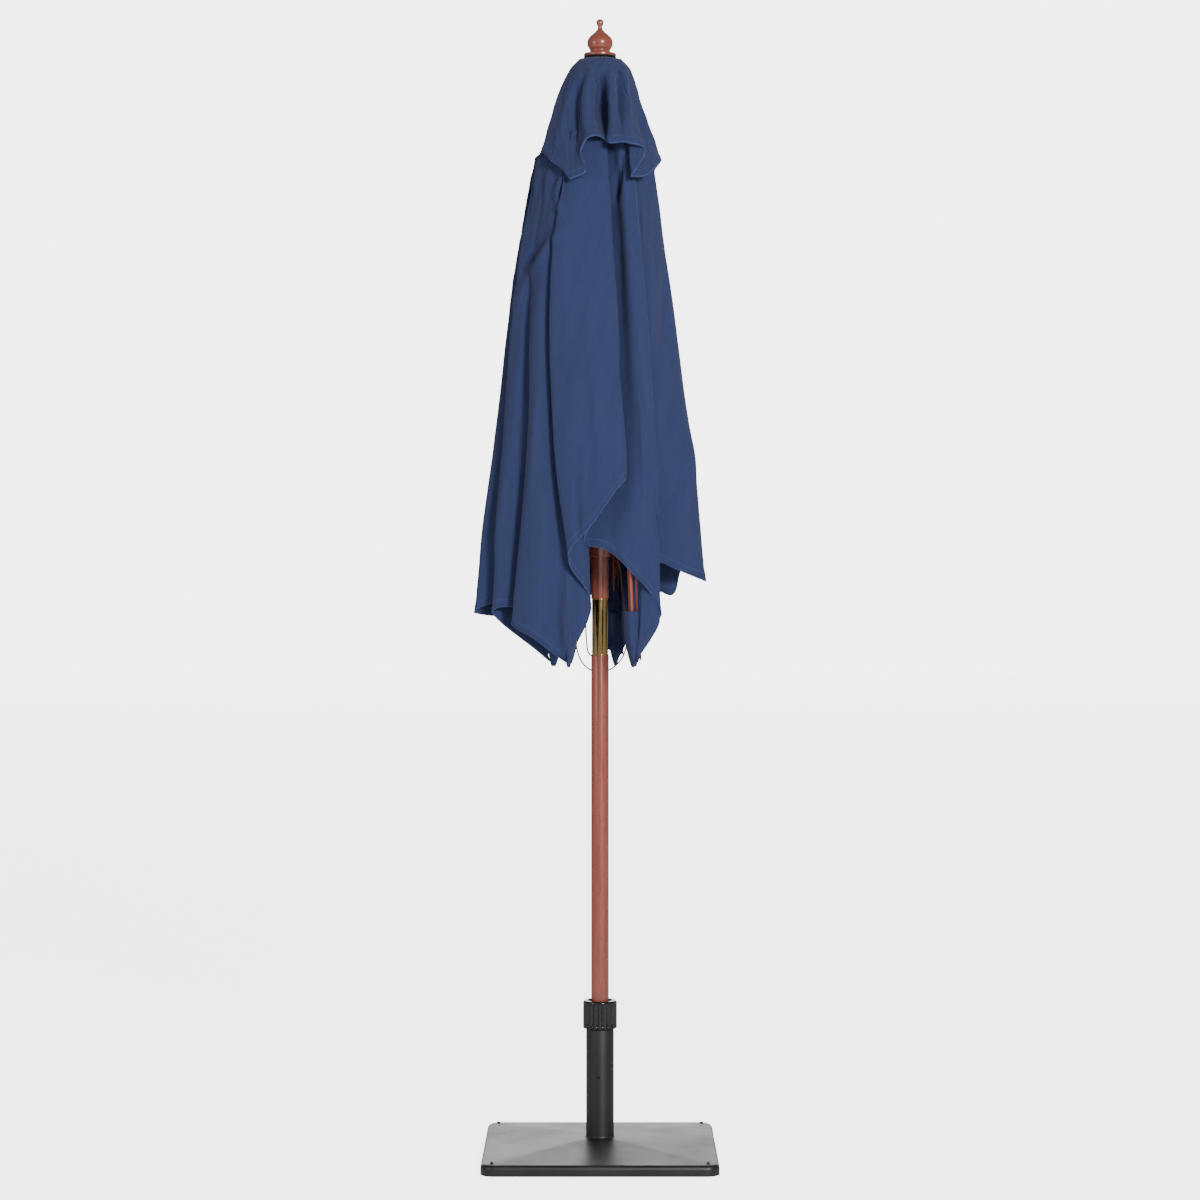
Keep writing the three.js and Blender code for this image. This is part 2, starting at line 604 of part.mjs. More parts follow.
for (let k = 0; k < ribCount; k += 1) {
  add(`canopy_gore_${k + 1}`, 'cloth', hangingGore(k));
}

const capInside = capProfile.map(([r, z]) => [r - clothThickness, z - clothThickness]).reverse();
add('vent_cap', 'cloth', turned([...capProfile, ...capInside, capProfile[0]].reverse(), 24));

export default umbrella;
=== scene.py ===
"""A centre-pole garden umbrella, closed, standing in its weighted square base. Units are metres."""

import json
import math

import bmesh
import bpy
import numpy as np
from bpy.props import FloatProperty, FloatVectorProperty, IntProperty, PointerProperty
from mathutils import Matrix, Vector


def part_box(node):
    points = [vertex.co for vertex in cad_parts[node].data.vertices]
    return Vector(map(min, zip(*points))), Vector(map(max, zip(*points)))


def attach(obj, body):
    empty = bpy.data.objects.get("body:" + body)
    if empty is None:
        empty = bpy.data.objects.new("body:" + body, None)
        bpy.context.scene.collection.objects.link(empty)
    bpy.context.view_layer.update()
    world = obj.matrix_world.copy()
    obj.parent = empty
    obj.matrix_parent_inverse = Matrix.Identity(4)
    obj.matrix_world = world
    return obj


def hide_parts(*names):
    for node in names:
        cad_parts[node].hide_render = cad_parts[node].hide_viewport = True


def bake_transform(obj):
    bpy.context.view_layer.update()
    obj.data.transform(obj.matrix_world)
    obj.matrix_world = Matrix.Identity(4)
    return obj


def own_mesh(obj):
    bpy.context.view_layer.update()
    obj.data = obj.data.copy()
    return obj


bl_info = {
    "name": "Garden umbrella",
    "version": (1, 0, 0),
    "blender": (4, 5, 0),
    "location": "View3D > Sidebar > Umbrella",
    "description": "Makes a closed wooden garden umbrella in its base around a packed frame",
    "category": "Add Mesh",
}

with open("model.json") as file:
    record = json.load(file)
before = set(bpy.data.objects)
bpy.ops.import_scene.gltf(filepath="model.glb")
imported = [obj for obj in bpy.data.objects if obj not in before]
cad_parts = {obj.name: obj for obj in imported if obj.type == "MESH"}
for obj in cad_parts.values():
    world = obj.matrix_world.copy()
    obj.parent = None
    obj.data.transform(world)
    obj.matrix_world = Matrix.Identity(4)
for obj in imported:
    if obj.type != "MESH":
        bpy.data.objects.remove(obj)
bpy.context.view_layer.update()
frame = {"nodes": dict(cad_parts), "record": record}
JOINTS = {joint["name"]: joint for joint in frame["record"]["behaviour"]["joints"]}
MM = 0.001
RIBS = 6
OPEN_RIB = math.radians(75)  # a rib's angle from the pole when the umbrella is open
RIB_LENGTH, RIB_HALF = 1.25, 0.012  # a rib's length from its pivot and half its depth


# ---------------------------------------------------------------- settings
class UmbrellaSizes(bpy.types.PropertyGroup):
    cloth: FloatProperty(name="Cloth", description="Thickness of the cloth", default=0.0012,
                         min=0.0005, unit="LENGTH")
    hem: FloatProperty(name="Hem", description="Width of the folded hem", default=0.02,
                       min=0.005, unit="LENGTH")
    hem_raise: FloatProperty(name="Hem raise", description="How far the hem stands off the cloth",
                             default=0.0009, unit="LENGTH")
    wrinkle: FloatProperty(name="Wrinkle", description="Depth of the small wrinkles", default=0.0026,
                           unit="LENGTH")
    vent_start: FloatProperty(name="Vent", description="Canopy's upper edge from its apex",
                              default=0.185, unit="LENGTH")
    cap_reach: FloatProperty(name="Cap reach", description="Vent cap's hem from the apex, along a rib",
                             default=0.30, unit="LENGTH")
    cord: FloatProperty(name="Cord", description="Diameter of the cord", default=0.0032, unit="LENGTH")
    edge: FloatProperty(name="Eased edge", description="Rounding of a wooden edge", default=0.0014,
                        unit="LENGTH")
    burr: FloatProperty(name="Metal edge", description="Rounding of a metal edge", default=0.0004,
                        unit="LENGTH")
    sides: IntProperty(name="Sides", description="Sides of a turned piece", default=96, min=24)


class UmbrellaColours(bpy.types.PropertyGroup):
    cloth: FloatVectorProperty(name="Cloth", description="Colour of the canopy", subtype="COLOR",
                               size=3, default=(0.022, 0.033, 0.098))
    wood: FloatVectorProperty(name="Wood", description="Colour of the stained wood", subtype="COLOR",
                              size=3, default=(0.3, 0.072, 0.048))
    brass: FloatVectorProperty(name="Brass", description="Colour of the brass", subtype="COLOR",
                               size=3, default=(0.8, 0.56, 0.22))
    coat: FloatVectorProperty(name="Powder coat", description="Colour of the base", subtype="COLOR",
                              size=3, default=(0.005, 0.0051, 0.0058))
    plastic: FloatVectorProperty(name="Plastic", description="Colour of the collar", subtype="COLOR",
                                 size=3, default=(0.003, 0.003, 0.0033))
    cord: FloatVectorProperty(name="Cord", description="Colour of the cord", subtype="COLOR",
                              size=3, default=(0.1, 0.034, 0.027))
    floor: FloatVectorProperty(name="Floor", description="Colour of the floor", subtype="COLOR",
                               size=3, default=(0.92, 0.92, 0.92))


def sizes():
    return bpy.context.scene.umbrella_sizes


def colours():
    return bpy.context.scene.umbrella_colours


# ---------------------------------------------------------------- materials
class Value:
    """A number in a material. Arithmetic on it adds the nodes that work it out."""

    def __init__(self, finish, socket):
        self.finish = finish
        self.socket = socket

    def math(self, operation, *others, clamp=False):
        return self.finish.node("ShaderNodeMath", {"operation": operation, "use_clamp": clamp},
                                **{str(k): v for k, v in enumerate((self, *others))})

    def __add__(self, other):
        return self.math("ADD", other)

    def __mul__(self, other):
        return self.math("MULTIPLY", other)

    def __sub__(self, other):
        return self.math("SUBTRACT", other)

    def __rsub__(self, other):
        return (self * -1.0) + other

    __radd__ = __add__
    __rmul__ = __mul__

    def sine(self):
        return self.math("SINE")

    def below(self, edge, soft):
        """1 where the value is under edge, 0 where it is over edge plus soft."""
        return ((edge + soft) - self).math("DIVIDE", soft, clamp=True)

    def clamped(self):
        return self.math("ADD", 0.0, clamp=True)


class Finish:
    """A material: its shader, and one method that adds any other node."""

    def __init__(self, name, colour=(0.5, 0.5, 0.5), **constants):
        self.material = bpy.data.materials.new(name)
        self.material.use_nodes = True
        self.tree = self.material.node_tree
        self.shader = self.tree.nodes["Principled BSDF"]
        self.shader.inputs["Base Color"].default_value = (*colour, 1)
        for socket, value in constants.items():
            self.shader.inputs[socket.replace("_", " ")].default_value = value

    def node(self, kind, settings=None, output=0, **inputs):
        node = self.tree.nodes.new(kind)
        for setting, value in (settings or {}).items():
            setattr(node, setting, value)
        for name, value in inputs.items():
            socket = node.inputs[int(name)] if name.isdigit() else node.inputs[name.replace("_", " ")]
            self.join(socket, value)
        return Value(self, node.outputs[output])

    def join(self, socket, value):
        if isinstance(value, Value):
            self.tree.links.new(value.socket, socket)
        else:
            socket.default_value = value

    def feed(self, **inputs):
        for name, value in inputs.items():
            self.join(self.shader.inputs[name.replace("_", " ")], value)
        return self.material

    def place(self, stretch=(1, 1, 1)):
        """Object coordinates, stretched."""
        spot = self.node("ShaderNodeTexCoord", output="Object")
        return self.node("ShaderNodeMapping", Vector=spot, Scale=stretch)

    def cloth_place(self, stretch=(1, 1, 1)):
        """The piece's own UV map, which is in metres of cloth."""
        spot = self.node("ShaderNodeUVMap", {"uv_map": "cloth"})
        return self.node("ShaderNodeMapping", Vector=spot, Scale=stretch)

    def noise(self, spot, scale, detail=3.0, rough=0.5):
        return self.node("ShaderNodeTexNoise", Vector=spot, Scale=scale, Detail=detail, Roughness=rough)

    def blend(self, factor, first, second):
        """A mix of two colours."""
        return self.node("ShaderNodeMix", {"data_type": "RGBA"}, output=2,
                         **{"0": factor, "6": self.tint(first), "7": self.tint(second)})

    def tint(self, colour):
        return colour if isinstance(colour, Value) else (*colour[:3], 1)

    def bump(self, height, strength, distance, under=None):
        inputs = {"Height": height, "Strength": strength, "Distance": distance}
        if under is not None:
            inputs["Normal"] = under
        return self.node("ShaderNodeBump", **inputs)


def scaled(colour, factor):
    return tuple(min(part * factor, 1.0) for part in colour)


def cloth_finish():
    """Plain-woven polyester with a matt face, doubled and stitched along the hems, with a painted highlight
    along the hem's edge.
    """
    colour = tuple(colours().cloth)
    finish = Finish("canopy_cloth", colour, Sheen_Weight=0.08, Sheen_Roughness=0.5,
                    Specular_IOR_Level=0.28)
    spot = finish.cloth_place()
    split = finish.node("ShaderNodeSeparateXYZ", Vector=spot)
    across = Value(finish, split.socket.node.outputs["X"])
    up = Value(finish, split.socket.node.outputs["Y"])
    threads = 2 * math.pi / 0.0011
    weave = (across * threads).sine() * (up * threads).sine()
    slubs = finish.noise(finish.cloth_place((900, 60, 1)), 1.0, 2.0)
    shade = finish.noise(finish.cloth_place((9, 1.6, 1)), 2.2, 5.0, 0.62)
    fade = finish.noise(finish.place(), 5.0, 2.0)
    hem = sizes().hem
    stitch_row = (up - hem * 0.82).math("ABSOLUTE").below(0.0006, 0.0006)
    stitches = (across * (2 * math.pi / 0.0045)).sine().math("GREATER_THAN", -0.35)
    stitch = stitch_row * stitches
    # Painted highlight: a thin band along the hem's edge where the rolled hem catches the light.
    edge = up.below(0.0016, 0.0014)
    tone = finish.blend(shade, scaled(colour, 0.66), scaled(colour, 1.36))
    tone = finish.blend((fade * 0.5).clamped(), tone, scaled(colour, 1.12))
    tone = finish.blend(slubs * 0.22, tone, scaled(colour, 1.45))
    # The painted highlight along the hem's edge is lightened into the colour here.
    tone = finish.blend((edge * 0.5).clamped(), tone, scaled(colour, 2.6))
    tone = finish.blend((stitch * 0.6).clamped(), tone, scaled(colour, 2.4))
    rough = 0.78 + slubs * 0.16
    height = weave * 0.35 + slubs * 0.5 - stitch * 1.6 + shade * 3.0
    return finish.feed(Base_Color=tone, Roughness=rough,
                       Normal=finish.bump(height, 0.5, 0.0006))


def wood_finish(name, along):
    """Stained hardwood under satin varnish. along is the stretch that runs the grain down a piece."""
    colour = tuple(colours().wood)
    finish = Finish(name, colour, Coat_Roughness=0.2, Specular_IOR_Level=0.4)
    warp = finish.noise(finish.place(tuple(0.35 * part for part in along)), 9.0, 2.0)
    grain = finish.noise(finish.place(along), 26.0, 5.0, 0.62)
    rings = ((grain * 9.0 + warp * 22.0).sine() * 0.5 + 0.5).clamped()
    pores = finish.noise(finish.place(tuple(4.0 * part for part in along)), 60.0, 2.0, 0.7)
    pore = pores.math("GREATER_THAN", 0.62)
    tone = finish.blend(rings * 0.65, scaled(colour, 0.72), scaled(colour, 1.3))
    tone = finish.blend((warp * 0.8).clamped(), tone, scaled(colour, 0.95))
    tone = finish.blend((pore * 0.45).clamped(), tone, scaled(colour, 0.35))
    rough = 0.3 + rings * 0.1 + pore * 0.12
    height = rings * 0.25 - pore * 0.6
    return finish.feed(Base_Color=tone, Roughness=rough, Coat_Weight=0.55 + rings * 0.15,
                       Normal=finish.bump(height, 0.1, 0.0002))


def brass_finish():
    """Polished brass with fine turning lines and a few dull patches."""
    colour = tuple(colours().brass)
    finish = Finish("polished_brass", colour, Metallic=1.0)
    lines = finish.noise(finish.place((1, 1, 160)), 6.0, 3.0)
    haze = finish.noise(finish.place(), 38.0, 4.0, 0.6)
    dull = (haze * 2.4 - 1.1).clamped()
    tone = finish.blend(dull * 0.6, colour, scaled(colour, 0.72))
    rough = 0.09 + lines * 0.06 + dull * 0.16
    return finish.feed(Base_Color=tone, Roughness=rough, Normal=finish.bump(lines, 0.05, 0.0002))


def metal_finish(name, colour, roughness, metallic, wear):
    """Plated or blackened steel with brighter handling wear."""
    finish = Finish(name, colour, Metallic=metallic)
    fine = finish.noise(finish.place(), 240.0, 3.0)
    patch = (finish.noise(finish.place(), 60.0, 4.0, 0.65) * 3.0 - 1.5).clamped()
    tone = finish.blend(patch * 0.5, colour, scaled(colour, wear))
    return finish.feed(Base_Color=tone, Roughness=roughness + fine * 0.12 + patch * 0.08,
                       Normal=finish.bump(fine, 0.12, 0.0002))


def coat_finish():
    """Satin powder coat: orange peel, a little dust and fine lighter specks."""
    colour = tuple(colours().coat)
    finish = Finish("powder_coat", colour, Metallic=0.0, Specular_IOR_Level=0.6)
    peel = finish.noise(finish.place(), 620.0, 2.0)
    speck = finish.noise(finish.place(), 1500.0, 1.0)
    dust = (finish.noise(finish.place(), 7.0, 5.0, 0.6) * 2.0 - 0.7).clamped()
    tone = finish.blend(dust * 0.12, colour, (0.06, 0.06, 0.062))
    tone = finish.blend(speck * 0.15, tone, scaled(colour, 2.4))
    return finish.feed(Base_Color=tone, Roughness=0.36 + peel * 0.1 + dust * 0.14,
                       Normal=finish.bump(peel, 0.22, 0.0003))


def plastic_finish():
    """Glossy moulded plastic with faint flow marks."""
    colour = tuple(colours().plastic)
    finish = Finish("black_plastic", colour, Specular_IOR_Level=0.6)
    flow = finish.noise(finish.place((1, 1, 0.3)), 45.0, 3.0)
    scuff = (finish.noise(finish.place((1, 1, 6)), 90.0, 5.0, 0.7) * 3.0 - 1.7).clamped()
    tone = finish.blend(scuff * 0.3, colour, (0.02, 0.02, 0.021))
    return finish.feed(Base_Color=tone, Roughness=0.14 + flow * 0.08 + scuff * 0.25,
                       Normal=finish.bump(flow, 0.06, 0.0004))


def rubber_finish():
    """Moulded rubber, matt and slightly chalky."""
    finish = Finish("rubber", (0.016, 0.016, 0.017), Specular_IOR_Level=0.35)
    grit = finish.noise(finish.place(), 900.0, 3.0)
    chalk = finish.noise(finish.place(), 40.0, 4.0)
    tone = finish.blend(chalk * 0.35, (0.012, 0.012, 0.013), (0.06, 0.058, 0.055))
    return finish.feed(Base_Color=tone, Roughness=0.72 + grit * 0.16,
                       Normal=finish.bump(grit, 0.3, 0.0002))


def concrete_finish():
    """Cast concrete with small air holes, their insides painted dark as shade."""
    finish = Finish("concrete", (0.42, 0.41, 0.39), Specular_IOR_Level=0.3)
    cloud = finish.noise(finish.place(), 14.0, 6.0, 0.65)
    sand = finish.noise(finish.place(), 700.0, 3.0)
    holes = finish.node("ShaderNodeTexVoronoi", Vector=finish.place(), Scale=130.0).below(0.16, 0.08)
    tone = finish.blend(cloud, (0.33, 0.32, 0.3), (0.52, 0.51, 0.48))
    # Painted shade: the air holes are darkened in colour for the shade inside them, and they are also dented
    # in the bump.
    tone = finish.blend(holes * 0.7, tone, (0.12, 0.12, 0.11))
    return finish.feed(Base_Color=tone, Roughness=0.82 + sand * 0.12,
                       Normal=finish.bump(sand * 0.4 - holes, 0.5, 0.001))


def cord_finish():
    """Braided cord: two families of strands that cross as they run round it, painted darker between the
    strands and lighter on them as shade and light.
    """
    colour = tuple(colours().cord)
    finish = Finish("braided_cord", colour, Sheen_Weight=0.3, Specular_IOR_Level=0.3)
    split = finish.node("ShaderNodeSeparateXYZ", Vector=finish.cloth_place())
    around = Value(finish, split.socket.node.outputs["X"])
    along = Value(finish, split.socket.node.outputs["Y"])
    turn = 2 * math.pi / (math.pi * sizes().cord)
    pitch = 2 * math.pi / 0.005
    left = (around * (turn * 4) + along * pitch).sine()
    right = (around * (turn * 4) - along * pitch).sine()
    braid = left.math("MAXIMUM", right)
    fuzz = finish.noise(finish.cloth_place((1, 1, 1)), 1400.0, 2.0)
    # Painted shade and light: the colour follows the braid's relief, dark in the gaps between strands and
    # light on their crowns.
    tone = finish.blend((braid * 0.5 + 0.5).clamped(), scaled(colour, 0.5), scaled(colour, 1.5))
    return finish.feed(Base_Color=tone, Roughness=0.75 + fuzz * 0.15,
                       Normal=finish.bump(braid + fuzz * 0.3, 0.6, 0.0003))


FINISHES = {
    "cloth": cloth_finish,
    "stained_wood": lambda: wood_finish("stained_wood", (6, 6, 0.35)),
    "turned_wood": lambda: wood_finish("turned_wood", (3, 3, 0.8)),
    "brass": brass_finish,
    "powder_coat": coat_finish,
    "black_plastic": plastic_finish,
    "zinc_steel": lambda: metal_finish("zinc_steel", (0.52, 0.52, 0.53), 0.26, 1.0, 1.25),
    "black_steel": lambda: metal_finish("black_steel", (0.03, 0.03, 0.032), 0.34, 0.7, 2.5),
    "rubber": rubber_finish,
    "concrete": concrete_finish,
    "cord": cord_finish,
}
_made = {}


def coat(obj, finish):
    """Gives a piece its finish."""
    if finish not in _made:
        _made[finish] = FINISHES[finish]()
    obj.data.materials.clear()
    obj.data.materials.append(_made[finish])
    return obj


# ---------------------------------------------------------------- modelling by hand
def clear_selection():
    if bpy.context.mode != "OBJECT":
        bpy.ops.object.mode_set(mode="OBJECT")
    bpy.ops.object.select_all(action="DESELECT")


def put_in(name, mesh):
    """A new object for a mesh, made active and alone in the selection."""
    clear_selection()
    obj = bpy.data.objects.new(name, mesh)
    bpy.context.collection.objects.link(obj)
    obj.select_set(True)
    bpy.context.view_layer.objects.active = obj
    return obj


def edit():
    bpy.ops.object.mode_set(mode="EDIT")
    bpy.ops.mesh.select_all(action="SELECT")


def pick_faces(obj, wanted):
    """Selects the faces that pass a test."""
    bpy.ops.mesh.select_mode(type="FACE")
    mesh = bmesh.from_edit_mesh(obj.data)
    for face in mesh.faces:
        face.select_set(wanted(face))
    bmesh.update_edit_mesh(obj.data)


def settle(obj, angle=35):
    """Back to object mode, with the place in the mesh and faces smooth up to an angle."""
    if bpy.context.mode != "OBJECT":
        bpy.ops.object.mode_set(mode="OBJECT")
    bpy.ops.object.transform_apply(location=True, rotation=True, scale=True)
    bpy.ops.object.shade_smooth_by_angle(angle=math.radians(angle))
    return obj


def modify(obj, kind, **settings):
    modifier = obj.modifiers.new(kind.title(), kind)
    for name, value in settings.items():
        setattr(modifier, name, value)
    bpy.ops.object.modifier_apply(modifier=modifier.name)


def spun(name, outline, at=(0, 0), sides=None, angle=35):
    """A turned piece: the outline of (radius, height) pairs is spun round the upright axis."""
    mesh = bpy.data.meshes.new(name)
    mesh.from_pydata([(r, 0, z) for r, z in outline],
                     [(k, k + 1) for k in range(len(outline) - 1)], [])
    obj = put_in(name, mesh)
    edit()
    bpy.ops.mesh.spin(steps=sides or sizes().sides, angle=2 * math.pi, center=(0, 0, 0), axis=(0, 0, 1))
    bpy.ops.mesh.select_all(action="SELECT")
    bpy.ops.mesh.remove_doubles(threshold=1e-6)
    bpy.ops.mesh.normals_make_consistent(inside=False)
    bpy.ops.transform.translate(value=(*at, 0))
    return settle(obj, angle)


def arc(centre, radius, start, end, steps=6):
    """Points of an arc in an outline, from one angle to another in degrees."""
    turns = [math.radians(start + (end - start) * k / steps) for k in range(steps + 1)]
    return [(centre[0] + radius * math.cos(t), centre[1] + radius * math.sin(t)) for t in turns]


def eased(name, node, width, angle=35):
    """A copy of a CAD node with its loose faces joined and its edges rounded."""
    obj = put_in(name, frame["nodes"][node].data.copy())
    edit()
    bpy.ops.mesh.remove_doubles(threshold=1e-6)
    bpy.ops.mesh.dissolve_limited(angle_limit=math.radians(1))
    bpy.ops.object.mode_set(mode="OBJECT")
    modify(obj, "BEVEL", width=width, segments=2, limit_method="ANGLE",
           angle_limit=math.radians(40), use_clamp_overlap=True)
    return settle(obj, angle)


def finished(obj, body, finish, *nodes):
    """A piece in its finish, riding on its body in place of its CAD nodes."""
    coat(obj, finish)
    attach(obj, body)
    if nodes:
        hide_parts(*nodes)
    return obj


def from_grid(name, points, faces, uvs=None):
    """A mesh object from points and faces, with a UV map in metres where it is given."""
    mesh = bpy.data.meshes.new(name)
    mesh.from_pydata([tuple(p) for p in points], [], faces)
    if uvs is not None:
        layer = mesh.uv_layers.new(name="cloth")
        corners = np.array([loop.vertex_index for loop in mesh.loops])
        layer.data.foreach_set("uv", np.asarray(uvs, float)[corners].ravel())
    mesh.shade_smooth()
    return put_in(name, mesh)


# ---------------------------------------------------------------- cords
def through(points, step):
    """A smooth curve through given points, centripetal, in even steps."""
    pts = [Vector(p) for p in points]
    pts = [2 * pts[0] - pts[1]] + pts + [2 * pts[-1] - pts[-2]]
    fine = []
    for k in range(1, len(pts) - 2):
        p0, p1, p2, p3 = pts[k - 1:k + 3]
        t0 = 0.0
        t1 = t0 + math.sqrt((p1 - p0).length)
        t2 = t1 + math.sqrt((p2 - p1).length)
        t3 = t2 + math.sqrt((p3 - p2).length)
        for j in range(24):
            t = t1 + (t2 - t1) * j / 24
            a1 = p0.lerp(p1, (t - t0) / (t1 - t0))
            a2 = p1.lerp(p2, (t - t1) / (t2 - t1))
            a3 = p2.lerp(p3, (t - t2) / (t3 - t2))
            b1 = a1.lerp(a2, (t - t0) / (t2 - t0))
            b2 = a2.lerp(a3, (t - t1) / (t3 - t1))
            fine.append(b1.lerp(b2, (t - t1) / (t2 - t1)))
    fine.append(pts[-2])
    fine = np.array(fine)
    run = np.concatenate([[0], np.cumsum(np.linalg.norm(np.diff(fine, axis=0), axis=1))])
    even = np.linspace(0, run[-1], max(int(round(run[-1] / step)), 2) + 1)
    return np.stack([np.interp(even, run, fine[:, k]) for k in range(3)], axis=1)


def tube(name, path, radius, sides=10):
    """A closed round tube along a path, its UV map in metres round and along it."""
    path = np.asarray(path, float)
    ahead = np.gradient(path, axis=0)
    ahead /= np.linalg.norm(ahead, axis=1)[:, None]
    side = np.cross(ahead[0], (0.31, 0.95, 0.05))
    rings, uvs = [], []
    run = 0.0
    for k, (spot, direction) in enumerate(zip(path, ahead)):
        side = side - direction * np.dot(side, direction)
        side /= np.linalg.norm(side)
        other = np.cross(direction, side)
        run += np.linalg.norm(path[k] - path[k - 1]) if k else 0.0
        for j in range(sides):
            turn = 2 * math.pi * j / sides
            rings.append(spot + radius * (math.cos(turn) * side + math.sin(turn) * other))
            uvs.append((turn * radius, run))
    faces = []
    for k in range(len(path) - 1):
        for j in range(sides):
            a, b = k * sides + j, k * sides + (j + 1) % sides
            faces.append((a, b, b + sides, a + sides))
    faces.append(tuple(reversed(range(sides))))
    faces.append(tuple(range(len(rings) - sides, len(rings))))
    return from_grid(name, rings, faces, uvs)


PULLEY_HEIGHT = 2.215
CORD_LINE = 0.0232  # from the pole's axis to the middle of the cord beside it
CORD_AZIMUTH = math.radians(-60 - 90)


def cord_side(height, side=1, radius=CORD_LINE):
    return (side * radius * math.cos(CORD_AZIMUTH), side * radius * math.sin(CORD_AZIMUTH), height)


CORD_ROUTE = [
    cord_side(2.2134), cord_side(2.12), cord_side(1.9), cord_side(1.64), cord_side(1.42), cord_side(1.3),
    (-.028, -.014, 1.235), (-.044, -.008, 1.175), (-.052, 0, 1.125), (-.048, .008, 1.085),
    (-.035, .017, 1.058), (-.018, .024, 1.045), (0, .027, 1.041), (.018, .024, 1.045),
    (.038, .014, 1.06), (.054, -.002, 1.088), (.057, -.012, 1.125), (.053, -.016, 1.17),
    (.047, -.018, 1.225), (.04, -.02, 1.278), (.025, -.025, 1.314), (.002, -.03, 1.327),
    (-.02, -.026, 1.314), (-.03, -.018, 1.275), (-.032, -.014, 1.22), (-.031, -.01, 1.165),
    (-.029, -.003, 1.112), (-.025, .008, 1.084), (-.013, .02, 1.074), (0, .024, 1.071),
    (.009, .023, 1.079), (.009, .023, 1.104),
]


class MakeCords(bpy.types.Operator):
    """Makes the hoisting line over the pulley and its free end, looped at the pole's joint"""
    bl_idname = "umbrella.make_cords"
    bl_label = "Cords"

    def execute(self, context):
        radius = sizes().cord / 2
        path = through(CORD_ROUTE, 0.006)
        free = tube("pull_rope", path, radius)
        finished(free, "upper_pole", "cord", "pull_cord")
        end = Vector(CORD_ROUTE[-1])
        loop = [end + Vector((0.0042 * math.cos(t) * (1 + 0.35 * math.cos(1.5 * t)),
                              0.0042 * math.sin(t) * (1 + 0.35 * math.cos(1.5 * t)),
                              0.0035 * math.sin(1.5 * t)))
                for t in np.linspace(0, 4 * math.pi, 60)]
        knot = finished(tube("rope_knot", loop, radius * 0.95), "upper_pole", "cord")
        runner_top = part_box("runner")[1][2]
        line = tube("hoist_rope", through([cord_side(runner_top, -1), cord_side(1.65, -1),
                                           cord_side(1.95, -1), cord_side(PULLEY_HEIGHT, -1)], 0.008), radius)
        coat(line, "cord")
        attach(line, "upper_pole")
        travel = JOINTS["runner_slide"]["range_m"][1]
        start = PULLEY_HEIGHT - runner_top
        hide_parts("hoist_line")
        (start - travel) / start
        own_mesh(line)
        over = [cord_side(PULLEY_HEIGHT + CORD_LINE * math.sin(t), -1, CORD_LINE * math.cos(t))
                for t in np.linspace(0, math.pi, 13)]
        finished(tube("pulley_rope", through(over, 0.003), radius), "upper_pole", "cord")
        return {"FINISHED"}


